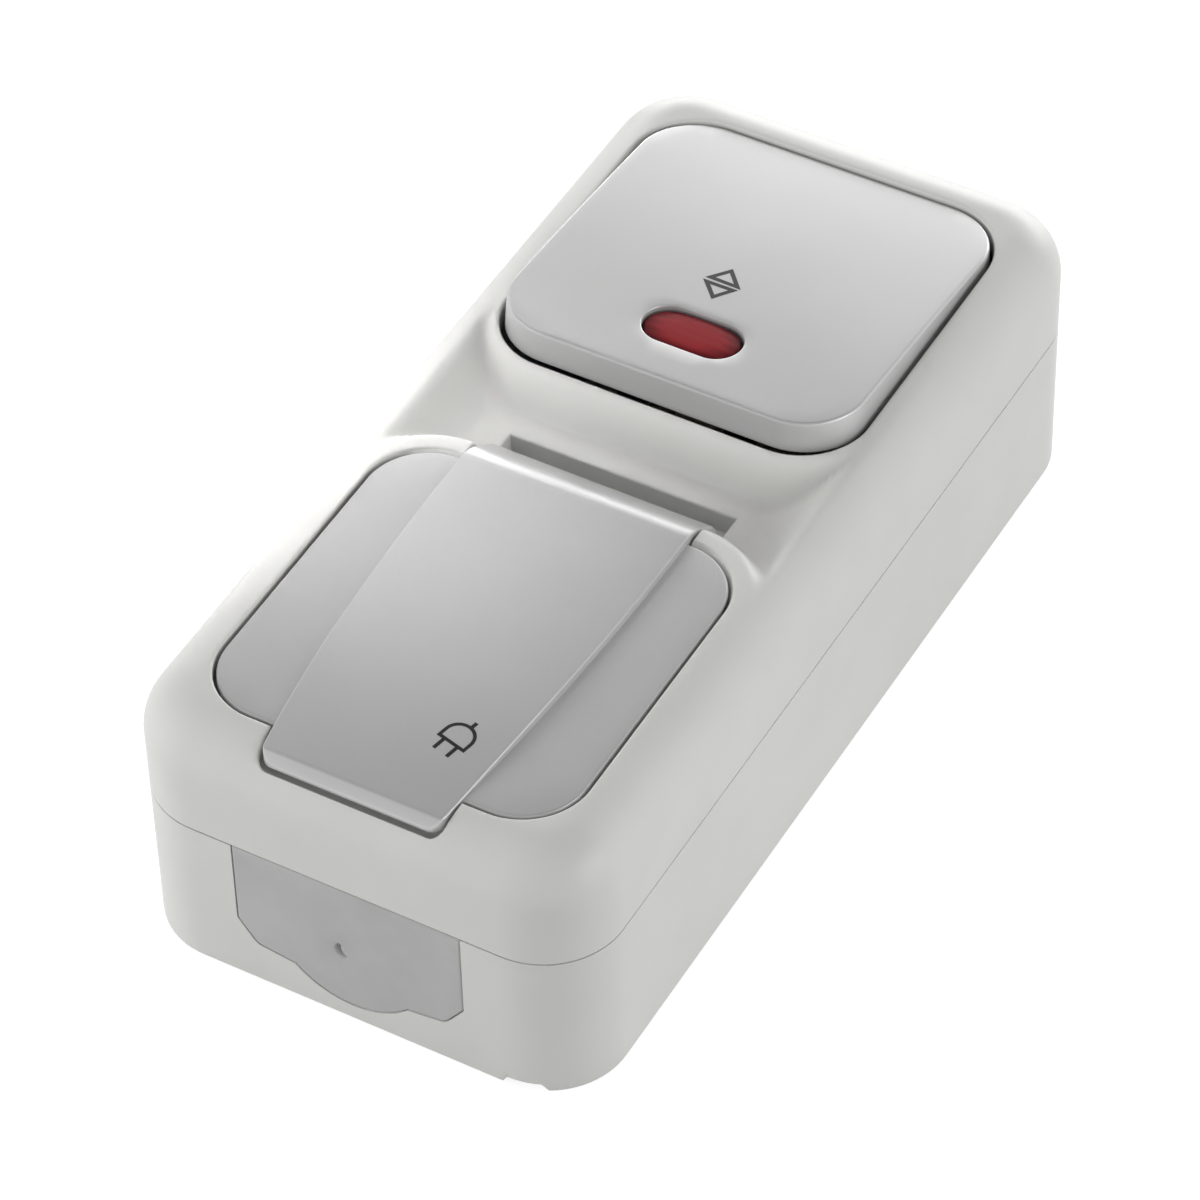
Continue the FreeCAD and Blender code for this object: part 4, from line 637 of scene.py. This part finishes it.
def make_front_cover():
    """Cover: outer wall and shoulder carried round the outline, a trimmed top sheet, rounded rims and walls
    of the two openings, the recess floor, the hinge gutter and the inside with its screw posts."""
    def outline(inset):
        """Outline of the housing, pulled in."""
        return rounded_rectangle(OUTLINE, inset, 20, 110)

    def rocker_opening(grow):
        """Opening for the rocker, let out."""
        return rounded_rectangle(ROCKER_OPENING, -grow)

    walls = [(COVER_WALL, CEILING), (COVER_WALL, SEAM), (SEAM_DEPTH, SEAM), (SEAM_DEPTH, SEAM + SEAM_GAP),
             (LIP_INSET, SEAM + SEAM_GAP), (0, SEAM + SEAM_GAP + LIP_HEIGHT)]
    walls += [(0, height) for height in np.linspace(SEAM + 2, TOP - SHOULDER - 1, 6)]
    shoulder_turn = np.linspace(0, math.acos(1 - SHOULDER_TRIM / SHOULDER), 7)
    walls += [(SHOULDER * (1 - math.cos(turn)), TOP - SHOULDER + SHOULDER * math.sin(turn))
              for turn in shoulder_turn]
    parts = [band([raised(outline(inset), height) for inset, height in walls])]

    # Rounded rim and walls of the rocker's opening
    rim = quarter_round(RIM_ROUND)[::-1]
    rocker_rim = rocker_opening(rim[0, 0])
    room = rounded_rectangle(ROCKER_ROOM)
    lip = cover_height(rocker_rim)
    rows = [raised(rocker_opening(grow), lip + rise) for grow, rise in rim]
    rows += [raised(rocker_opening(0), LIP_UNDERSIDE), raised(room, LIP_UNDERSIDE), raised(room, CEILING)]
    parts.append(band(rows))

    # Rounded rim and walls of the lid's recess, down to its floor and the deeper gutter
    lid_rim = [lid_opening(grow, lid_back(TOP) + RECESS_GAP) for grow, _ in rim]
    foot = lid_opening(0, lid_back(RECESS_FLOOR) + RECESS_GAP)
    deep = (np.abs(foot[:, 0]) <= THROAT_HALF + 0.01) & (foot[:, 1] > GUTTER_NEAR - STEP / 2)
    lip = cover_height(lid_rim[0])
    rows = [raised(loop, lip + rise) for loop, (_, rise) in zip(lid_rim, rim)]
    parts.append(band(rows + [raised(foot, np.where(deep, GUTTER_FLOOR, RECESS_FLOOR))]))
    parts.append(sheet([outline(SHOULDER_TRIM), rocker_rim, lid_rim[0]], over(cover_height), 0.65))

    # Floors of recess and gutter, with the step between them
    low_posts = [place for place in POST_PLACES if place[1] < 0]
    socket = circle(0, SOCKET_Y, SOCKET_RADIUS, 96)
    heads = [circle(x, y, HEAD_RADIUS) for x, y in low_posts]
    step_line = np.array([[THROAT_HALF, GUTTER_NEAR], [-THROAT_HALF, GUTTER_NEAR]])
    parts.append(sheet([foot[~deep], socket] + heads, level(RECESS_FLOOR), COARSE))
    parts.append(sheet([foot[deep]], level(GUTTER_FLOOR), COARSE))
    parts.append(band([raised(step_line, RECESS_FLOOR), raised(step_line, GUTTER_FLOOR)], closed=False))

    # Inside: undersides and screw posts
    lid_room = rounded_rectangle(LID_ROOM)
    posts = [circle(x, y, POST_RADIUS) for x, y in low_posts]
    parts.append(band([raised(socket, RECESS_FLOOR), raised(socket, RECESS_UNDERSIDE)]))
    parts.append(sheet([lid_room, socket] + posts, level(RECESS_UNDERSIDE), COARSE))
    parts.append(band([raised(lid_room, RECESS_UNDERSIDE), raised(lid_room, CEILING)]))
    parts.append(sheet([outline(COVER_WALL), room, lid_room], level(CEILING), COARSE))
    parts += [turned([(HEAD_RADIUS, RECESS_FLOOR), (HEAD_RADIUS, HEAD_SEAT), (POST_BORE, HEAD_SEAT),
                      (POST_BORE, SEAM), (POST_RADIUS, SEAM), (POST_RADIUS, RECESS_UNDERSIDE)], x, y)
              for x, y in low_posts]
    lug_turn = np.radians(np.linspace(30, 330, 41))
    lug = np.concatenate([arc(0, 0, POST_RADIUS, lug_turn), [[LUG_REACH, -LUG_HALF], [LUG_REACH, LUG_HALF]]])
    for x, y in POST_PLACES[:2]:
        tongue, bore = lug * [np.sign(x), 1] + [x, y], circle(x, y, POST_BORE)
        parts += [sheet([tongue, bore], level(height), 2.0) for height in (SEAM, LUG_TOP)]
        parts += [band([raised(loop, SEAM), raised(loop, LUG_TOP)]) for loop in (tongue, bore)]
    make_piece("cover_moulding", parts, "housing", housing_abs, ["front_cover"])


# Base and cable entry

def grommet_edge(grow):
    """Front view (x, height) of the cable entry's lower edge from right to left: straight side, soft
    shoulder and a round belly."""
    share = np.linspace(1, -1, 33)[:, None]
    neck, neck_height, lowest = 8.6, 6.6 - grow, 2.9 - grow
    sag = neck_height - lowest
    belly = (neck ** 2 + sag ** 2) / (2 * sag)
    turn = share * math.asin(neck / belly)
    bow = np.hstack([belly * np.sin(turn), lowest + belly * (1 - np.cos(turn)), np.full_like(turn, 0.01)])
    side, shoulder = ENTRY_HALF + grow, 14.4 + grow
    right = [(side, ENTRY_TOP + grow, 0.01), (side, 11.2, 1.2), (shoulder, 7.4 - grow, 2.0)]
    left = [(-x, height, radius) for x, height, radius in right[::-1]]
    edge = thinned(soften(np.concatenate([right, bow, left]), 7))
    return edge[edge[:, 1] < ENTRY_TOP - 1]


def base_wall(loop_xz, inset):
    """Points of the flat lower wall from (x, height), pulled in from the outer face."""
    return np.column_stack([loop_xz[:, 0], np.broadcast_to(inset - HALF_LENGTH, len(loop_xz)), loop_xz[:, 1]])


def make_base():
    """Base: one wall profile carried along the outline from one side of the cable entry round to the other,
    the panel below the entry, the floor with its wall holes, and the posts."""
    low_edge = grommet_edge(ENTRY_GAP)
    side, jamb_foot = low_edge[0]
    loop = rounded_rectangle(OUTLINE, 0, 20, 60)
    loop = loop[(np.abs(loop[:, 0]) > side + 0.3) | (loop[:, 1] > 0)]
    loop = np.roll(loop, -np.argmax((loop[:, 0] > side) & (loop[:, 1] < 0)), axis=0)
    path = np.concatenate([[[side, -HALF_LENGTH]], loop, [[-side, -HALF_LENGTH]]])
    core = np.array([HALF_WIDTH - CORNER, HALF_LENGTH - CORNER])
    outward = unit(path - np.clip(path, -core, core))
    cut = (path[:, 1] < 0) & (path[:, 0] > DRAIN_FROM) & (path[:, 0] < DRAIN_TO)

    def at(inset, height):
        """The path pulled in and lifted, by one value or by one for each point."""
        return raised(path - outward * np.broadcast_to(inset, len(path))[:, None], height)

    # Wall profile, from the inner foot over the rim with its groove and down to the back
    rows = [at(BASE_WALL, BASE_FLOOR), at(BASE_WALL, jamb_foot), at(BASE_WALL, SEAM),
            at(GROOVE_INNER, SEAM), at(GROOVE_INNER, SEAM - GROOVE_DEPTH),
            at(GROOVE_OUTER, SEAM - GROOVE_DEPTH), at(GROOVE_OUTER, SEAM),
            at(SEAM_DEPTH, SEAM), at(SEAM_DEPTH, SEAM - SEAM_GAP),
            at(LIP_INSET, SEAM - SEAM_GAP), at(0, SEAM - SEAM_GAP - LIP_HEIGHT)]
    heights_above, heights_below = [20.0, 14.0, jamb_foot], [8.0, 3.0, DRAIN_TOP]
    rows += [at(0, height) for height in heights_above]
    jamb_end = len(rows)
    rows += [at(0, height) for height in heights_below]
    foot_round = quarter_round(FOOT_ROUND) + [0, FOOT_ROUND]
    rows += [at(np.where(cut, 0, inset), np.where(cut, DRAIN_TOP, FOOT_ROUND - drop))
             for inset, drop in foot_round]
    sole = np.where(cut, BASE_WALL, FOOT_ROUND)
    rows += [at(sole, np.where(cut, DRAIN_TOP, 0)), at(sole, 0)]
    parts = [band(rows, closed=False)]

    # Panel below the cable entry, and the cut ends of the wall beside it
    ladder = np.array([[side, height] for height in heights_below])
    foot = np.array([[side, FOOT_ROUND], [-side, FOOT_ROUND]])
    front = np.concatenate([low_edge, ladder * [-1, 1], foot[::-1], ladder[::-1]])
    parts.append(sheet([front], lambda flat: base_wall(flat, 0), 5.0))
    inner = np.concatenate([low_edge, [[-side, BASE_FLOOR], [side, BASE_FLOOR]]])
    parts.append(sheet([inner], lambda flat: base_wall(flat, BASE_WALL), 5.0))
    parts.append(band([base_wall(low_edge, 0), base_wall(low_edge, BASE_WALL)], closed=False))
    cheek = np.array(rows)[1:jamb_end, 0, 1:]
    parts += [sheet([cheek], upright(lambda y, x=x: np.full_like(y, x)), 3.0) for x in (side, -side)]
    parts.append(band([base_wall(foot - [[0, drop]], inset) for inset, drop in foot_round], closed=False))

    # Back, floor, wall holes, posts and pads
    holes = [circle(x, y, MOUNT_RADIUS) for x, y in MOUNT_PLACES]
    posts = [circle(x, y, POST_RADIUS) for x, y in POST_PLACES + PAD_PLACES]
    parts.append(sheet([rows[-1][:, :2]] + holes, level(0), COARSE))
    parts.append(sheet([rows[0][:, :2]] + holes + posts, level(BASE_FLOOR), COARSE))
    parts += [band([raised(ring, 0), raised(ring, BASE_FLOOR)]) for ring in holes]
    for places, top, bore_foot in ((POST_PLACES, SEAM, POST_BORE_FOOT), (PAD_PLACES, PAD_TOP, PAD_BORE_FOOT)):
        parts += [turned([(POST_RADIUS, BASE_FLOOR), (POST_RADIUS, top), (POST_BORE, top),
                          (POST_BORE, bore_foot), (0, bore_foot)], x, y) for x, y in places]
    make_piece("base_moulding", parts, "housing", housing_abs, ["base_box"])


def entry_skin(flat):
    """Front face of the cable entry: a slight dish round the pierced middle, and a soft groove along an
    arc about it, widest halfway along."""
    middle_x, middle_height = -0.5, 13.2
    groove_radius, groove_depth, groove_middle, groove_reach = 1.25, 0.9, 205, 75
    dish_radius, dish_depth = 2.2, 0.15
    x, height = flat[:, 0] - middle_x, flat[:, 1] - middle_height
    away, turn = np.hypot(x, height), np.degrees(np.arctan2(height, x)) % 360
    share = np.clip(1 - np.abs(turn - groove_middle) / groove_reach, 0, 1)
    width = 0.12 + 0.22 * np.sqrt(share)
    groove = np.exp(-((away - groove_radius) / width) ** 2) * np.minimum(share * 4, 1)
    dish = dish_depth * np.exp(-(away / dish_radius) ** 4)
    return base_wall(flat, ENTRY_FACE + groove_depth * groove + dish)


def make_grommet():
    """Cable entry: front sheet with a soft edge and a pierced dimple, carried back as a flanged plate."""
    plate_back, flange_back, flange_inset, soft = 3.1, 4.5, 1.0, 0.3
    outline = np.concatenate([grommet_edge(0), [[-ENTRY_HALF, ENTRY_TOP], [ENTRY_HALF, ENTRY_TOP]]])
    flange = pulled_in(outline, flange_inset)
    rows = [base_wall(pulled_in(outline, inset), ENTRY_FACE - rise)
            for inset, rise in quarter_round(soft)[::-1]]
    rows += [base_wall(outline, plate_back), base_wall(flange, plate_back), base_wall(flange, flange_back)]
    fine = np.stack(np.meshgrid(np.linspace(-2.9, 1.9, 60), np.linspace(10.8, 15.6, 60)), -1).reshape(-1, 2)
    parts = [band(rows), sheet([pulled_in(outline, soft)], entry_skin, 0.9, fine)]
    parts.append(sheet([flange], lambda flat: base_wall(flat, flange_back), 4.0))
    make_piece("entry_membrane", parts, "housing", grommet_rubber, ["cable_grommet"])


# Lid

def panel_arc(share):
    """Height of the panel's top at a share of its arc: a parabola that ends level at the flat top."""
    return ARC_FOOT + (PANEL_TOP - ARC_FOOT) * (1 - (1 - share) ** 2)


def panel_height(flat):
    """Height of the panel's top along its length."""
    return panel_arc(np.clip((flat[:, 1] - ARC_START) / ARC_LENGTH, 0, 1))


def panel_profile():
    """Closed side view (y, height) of the lid's panel: leaning finger tip, long shallow arc, flat top,
    round hinge edge, slope, barrel, and an underside that stays inside the wings. Each corner has its own
    radius."""
    share = np.concatenate([[0.08], np.linspace(0, 1, 25)[4:]])
    rise = np.column_stack([ARC_START + ARC_LENGTH * share, panel_arc(share), np.full_like(share, 0.02)])
    barrel_turn = np.radians(np.linspace(50, -180, 30))
    barrel = raised(arc(HINGE_Y, HINGE_HEIGHT, BARREL_RADIUS, barrel_turn), 0.02)
    tip = [(TIP_FRONT, PANEL_UNDERSIDE, 0.35), (TIP_FRONT, 41.3, 0.45), (-70.15, 42.7, 0.7)]
    hinge_edge = [(-10.7, PANEL_TOP, 6.0)]
    underside = [(-9.8, PANEL_UNDERSIDE, 0.05), (-16.5, PANEL_UNDERSIDE, 0.5), (-16.5, 41.2, 0.05),
                 (-61.5, 41.2, 0.05), (-61.5, PANEL_UNDERSIDE, 0.5)]
    corners = np.concatenate([tip, rise, hinge_edge, barrel, underside])
    return thinned(split(thinned(soften(corners, 6)), 0.35))


def make_lid():
    """Lid: wings carried round their outline with soft edges and a slanted hinge edge, and the panel's side
    view carried across with rounded long edges."""
    def wings(inset, height):
        """Plan of the wings at a height, pulled in."""
        return rounded_rectangle((WING_HALF, WING_FRONT, lid_back(height), WING_CORNER), inset, 18, 36)

    def flank(y):
        """Half width of the panel with the round corners of its finger tip."""
        short = np.clip(TIP_CORNER + TIP_FRONT - y, 0, TIP_CORNER)
        return panel_half(y) - TIP_CORNER + np.sqrt(TIP_CORNER ** 2 - short ** 2)

    edge = quarter_round(WING_EDGE)
    hollow = rounded_rectangle(HOLLOW, 0, 8, 20)
    wing_foot = wings(0, LID_UNDERSIDE)
    rows = [raised(wing_foot, LID_UNDERSIDE)]
    rows += [raised(wings(inset, LID_TOP), LID_TOP + rise) for inset, rise in edge]
    parts = [band(rows)]
    parts.append(sheet([wings(edge[-1, 0], LID_TOP)], level(LID_TOP), 4.0))
    parts.append(sheet([wing_foot, hollow], level(LID_UNDERSIDE), 4.0))
    parts.append(band([raised(hollow, LID_UNDERSIDE), raised(hollow, HOLLOW_TOP)]))
    parts.append(sheet([hollow], level(HOLLOW_TOP), COARSE))
    profile = panel_profile()
    across = quarter_round(PANEL_EDGE, 6)
    loops = [pulled_in(profile, -rise) for rise in across[:, 1]]
    sides = [np.column_stack([flank(loop[:, 0]) - inset, loop]) for loop, inset in zip(loops, across[:, 0])]
    parts.append(band(sides + [row * [-1, 1, 1] for row in sides[::-1]]))
    parts.append(sheet([loops[0]], upright(flank), 3.0))
    parts.append(sheet([loops[0]], upright(lambda y: -flank(y)), 3.0))
    make_piece("lid_moulding", parts, "lid", key_lacquer, ["socket_lid"])


# Rocker

def cap_height(flat):
    """Top of the rocker: a shallow arch from end to end."""
    return CAP_TOP - CAP_CROWN * (flat[:, 1] / CAP[2]) ** 2


def make_rocker():
    """Rocker cap: drafted wall and soft top edge carried round the outline, a faintly crowned top with the
    lens window, and the hollow inside."""
    def outline(inset):
        """Plan of the cap, pulled in."""
        return rounded_rectangle(CAP, inset, 18, 44)

    def window(grow):
        """Window for the lens, let out."""
        return rounded_rectangle(WINDOW, -grow, 18, 16)

    hollow, hollow_foot, skirt_edge = outline(2.4), outline(1.9), outline(0.1)
    wall_top = CAP_TOP - CAP_EDGE
    rows = [raised(hollow, CAP_CEILING), raised(hollow_foot, SKIRT), raised(skirt_edge, SKIRT)]
    rows += [raised(outline((height - DRAFT_FOOT) * DRAFT), height)
             for height in np.linspace(SKIRT + 0.5, wall_top, 4)[:-1]]
    for inset, rise in quarter_round(CAP_EDGE, 8):
        loop = outline((wall_top - DRAFT_FOOT) * DRAFT + inset)
        rows.append(raised(loop, cap_height(loop) + rise))
    rim = window(WINDOW_ROUND)
    top = sheet([rows[-1][:, :2], rim], over(cap_height), 2.0)
    bore = [raised(window(grow), cap_height(rim) + rise) for grow, rise in quarter_round(WINDOW_ROUND)[::-1]]
    bore.append(raised(window(0), CAP_CEILING))
    under = sheet([hollow, window(0)], level(CAP_CEILING), 5.0)
    parts = on_rocker(band(rows), top, band(bore), under)
    make_piece("rocker_moulding", parts, "rocker", key_lacquer, ["rocker_cap"])


def lens_height(flat):
    """Face of the lens: it follows the rocker's top a little below it, and falls off towards its rim with
    the fourth power of the way out."""
    sunk, fall = 0.35, 0.25
    half_x, half_y, middle_y = 7.3, 3.75, -16.7
    way_out = (flat[:, 0] / half_x) ** 2 + ((flat[:, 1] - middle_y) / half_y) ** 2
    return cap_height(flat) - sunk - fall * way_out ** 2


def make_lens():
    """Lens: stadium outline with a rounded edge, and a crowned face."""
    foot, face_rim = rounded_rectangle(LENS, 0, 18, 16), rounded_rectangle(LENS, LENS_EDGE, 18, 16)
    rows = [raised(foot, LENS_FOOT)]
    rows += [raised(rounded_rectangle(LENS, inset, 18, 16), lens_height(face_rim) + rise)
             for inset, rise in quarter_round(LENS_EDGE)]
    face = sheet([face_rim], over(lens_height), 0.5)
    under = sheet([foot], level(LENS_FOOT), 2.0)
    parts = on_rocker(band(rows), face, under)
    make_piece("lens_moulding", parts, "rocker", lens_red, ["indicator_lens"])


# Printed signs

def stroke(path, height, width, closed):
    """Printed line: a low flat-topped section carried along a path, mitred at the corners."""
    path = np.asarray(path, float)
    ahead = np.roll(path, -1, axis=0) - path
    if not closed:
        ahead[-1] = ahead[-2]
    ahead = unit(ahead)
    behind = np.roll(ahead, 1, axis=0)
    if not closed:
        behind[0] = ahead[0]
    both = unit(ahead + behind)
    across = np.stack([-both[:, 1], both[:, 0]], -1) / np.maximum((both * ahead).sum(1, keepdims=True), 0.4)
    rows = []
    for share, lift in INK_SECTION:
        flat = path + across * width * share
        rows.append(raised(flat, height(flat) + lift))
    points, quads = band(rows, closed)
    if not closed:
        end = np.arange(4) * len(path)
        quads = np.concatenate([quads, [end, end[::-1] + len(path) - 1]])
    return points, quads


def make_two_way_sign():
    """Sign of a two-way switch on the rocker: an outlined triangle up and one down."""
    upper = [(-3.6, -5.0), (0.7, -5.1), (-1.7, -2.35)]
    lower = [(-3.6, -6.1), (-1.2, -8.7), (0.55, -6.05)]
    parts = on_rocker(*[stroke(triangle, cap_height, width=0.66, closed=True) for triangle in (upper, lower)])
    make_piece("two_way_sign", parts, "rocker", sign_ink)


def make_plug_sign():
    """Sign of a plug on the lid: a body with a round end, two pins and the cord's stub, turned a little."""
    middle, half_width = np.array([8.14, -58.75]), 2.15
    up = unit(np.array([0.24, 0.97]))
    right = np.array([up[1], -up[0]])

    def place(points):
        """Points of the sign's own frame, turned and moved to the panel."""
        return middle + np.asarray(points, float) @ np.stack([right, up])

    turn = np.linspace(0, np.pi, 19)
    dome_foot, dome_rise = 1.35, 2.05
    dome = np.stack([half_width * np.cos(turn), dome_foot + dome_rise * np.sin(turn)], -1)
    body = np.concatenate([[(-half_width, 0), (half_width, 0)], dome])
    parts = [stroke(place(body), panel_height, width=0.52, closed=True)]
    for line in ([(-1.15, -0.1), (-1.15, -2.1)], [(1.15, -0.1), (1.15, -2.1)], [(0.25, 3.3), (0.25, 4.5)]):
        parts.append(stroke(place(line), panel_height, width=0.58, closed=False))
    make_piece("plug_sign", parts, "lid", sign_ink)


# Plunger's spring

def make_plunger_coil():
    """Spring of the plunger: a round wire carried along a helix. A point of the wire is the helix point
    plus the wire's radius times the cosine of the outward and the sine of the upward normal."""
    turn = np.linspace(0, 2 * np.pi * (COIL_HIGH - COIL_LOW) / COIL_PITCH, 160)
    outward = raised(arc(0, 0, 1, turn), 0)
    middle = raised(arc(0, 0, COIL_RADIUS, turn), COIL_LOW + COIL_PITCH * turn / (2 * np.pi))
    upward = np.cross(outward, unit(np.gradient(middle, axis=0)))
    section = circle(0, 0, COIL_WIRE, 14)
    rings = middle[:, None] + section[:, :1] * outward[:, None] + section[:, 1:] * upward[:, None]
    ends = np.repeat(middle[[0, -1], None], len(section), axis=1)
    parts = on_rocker(band(np.concatenate([ends[:1], rings, ends[1:]])))
    piece = make_piece("plunger_coil", parts, "rocker", spring_steel, ["plunger_spring"], 60)
    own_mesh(piece)


make_front_cover()
make_base()
make_grommet()
make_lid()
make_rocker()
make_lens()
make_two_way_sign()
make_plug_sign()
make_plunger_coil()


# Floor, light and camera, in metres

FLOOR_LEVEL = 0.00005  # a hair above the part's back, so that the back shows clean from below
FLOOR_REACH = 4.0
PAPER_GLOW = 0.8  # light that the paper shows to the eye and in gloss, but doesn't throw on the part


def make_floor():
    """Wide square under the part: white to the eye, with the part's own soft shadow on it."""
    mesh = bpy.data.meshes.new("floor")
    corners = np.array([(-1, -1), (1, -1), (1, 1), (-1, 1)]) * FLOOR_REACH
    mesh.from_pydata(raised(corners, FLOOR_LEVEL).tolist(), [], [(0, 1, 2, 3)])
    material = bpy.data.materials.new("white_paper")
    material.use_nodes = True
    tree = material.node_tree
    tree.nodes.remove(tree.nodes["Principled BSDF"])
    rays = add(tree, "ShaderNodeLightPath").outputs
    seen = rays["Is Camera Ray"]
    for kind in ("Is Glossy Ray", "Is Transmission Ray"):
        seen = add(tree, "ShaderNodeMath", {"operation": "MAXIMUM"}, {0: seen, 1: rays[kind]}).outputs[0]
    strength = add(tree, "ShaderNodeMath", {"operation": "MULTIPLY", 1: PAPER_GLOW}, {0: seen})
    glow = add(tree, "ShaderNodeEmission", {"Color": (1, 1, 1, 1)}, {"Strength": strength.outputs[0]})
    paper = add(tree, "ShaderNodeBsdfDiffuse", {"Color": linear("#A8A8A8")})
    both = add(tree, "ShaderNodeAddShader", {}, {0: paper.outputs[0], 1: glow.outputs[0]})
    tree.links.new(both.outputs[0], tree.nodes["Material Output"].inputs["Surface"])
    mesh.materials.append(material)
    floor = bpy.data.objects.new("floor", mesh)
    bpy.context.scene.collection.objects.link(floor)


def make_world():
    """Studio surroundings: white at the horizon, falling evenly with height to dark overhead."""
    world = bpy.data.worlds.new("studio")
    bpy.context.scene.world = world
    world.use_nodes = True
    tree = world.node_tree
    place = add(tree, "ShaderNodeTexCoord").outputs["Generated"]
    upward = add(tree, "ShaderNodeSeparateXYZ", {}, {"Vector": place})
    light = add(tree, "ShaderNodeMapRange", {"To Min": 1.0, "To Max": 0.12}, {"Value": upward.outputs["Z"]})
    background = tree.nodes["Background"]
    background.inputs["Color"].default_value = (1, 1, 1, 1)
    tree.links.new(light.outputs["Result"], background.inputs["Strength"])


def set_up(holder, right, upward, backward, place):
    """Puts a lamp or camera in its place, with its own axes along three directions."""
    turn = np.eye(4)
    turn[:3] = np.column_stack([right, upward, backward, place])
    holder.matrix_world = Matrix(turn.tolist())
    bpy.context.scene.collection.objects.link(holder)


def make_lamp(name, place, target, width, height, power, spread=180, mirrored=True):
    """Soft rectangular lamp that looks at a target point, with its beam held to a spread in degrees. One
    that is not mirrored only fills: glossy surfaces show no image of it."""
    lamp = bpy.data.lights.new(name, "AREA")
    lamp.shape = "RECTANGLE"
    lamp.size, lamp.size_y = width, height
    lamp.energy = power
    lamp.spread = math.radians(spread)
    holder = bpy.data.objects.new(name, lamp)
    holder.visible_glossy = mirrored
    away = unit(np.array(place) - np.array(target))
    side = unit(np.cross([0, 0, 1], away))
    set_up(holder, side, np.cross(away, side), away, place)


def make_camera():
    """Camera found by fitting the outlines of base, seam, lid and rocker opening."""
    camera = bpy.data.cameras.new("camera")
    camera.sensor_width = 36.0
    camera.lens = 168.35
    camera.clip_start = 0.01
    holder = bpy.data.objects.new("camera", camera)
    right = np.array([0.8724, 0.48839, -0.0201])
    down = np.array([0.33588, -0.62884, -0.70124])
    forward = np.array([-0.35512, 0.60501, -0.71264])
    set_up(holder, right, -down, -forward, (0.27403, -0.47308, 0.56856))
    bpy.context.scene.camera = holder


make_floor()
make_world()
make_lamp("far_softbox", (-0.12, 0.55, 0.12), (0, 0.06, 0.04), 0.7, 0.2, 2.55)
make_lamp("right_fill", (0.6, 0.0, 0.22), (0, 0, 0.02), 0.4, 0.3, 1.35)
make_lamp("left_fill", (-0.44, -0.43, 0.18), (0, -0.02, 0.03), 0.3, 0.2, 1.65, mirrored=False)
make_lamp("left_top_softbox", (-0.34, 0.06, 0.42), (0, -0.02, 0.04), 0.4, 0.4, 0.45, mirrored=False)
make_lamp("left_spot", (-0.2, 0.02, 0.3), (-0.024, -0.017, 0.042), 0.05, 0.05, 0.0066, 11, mirrored=False)
make_camera()
bpy.context.scene.view_settings.view_transform = "Standard"
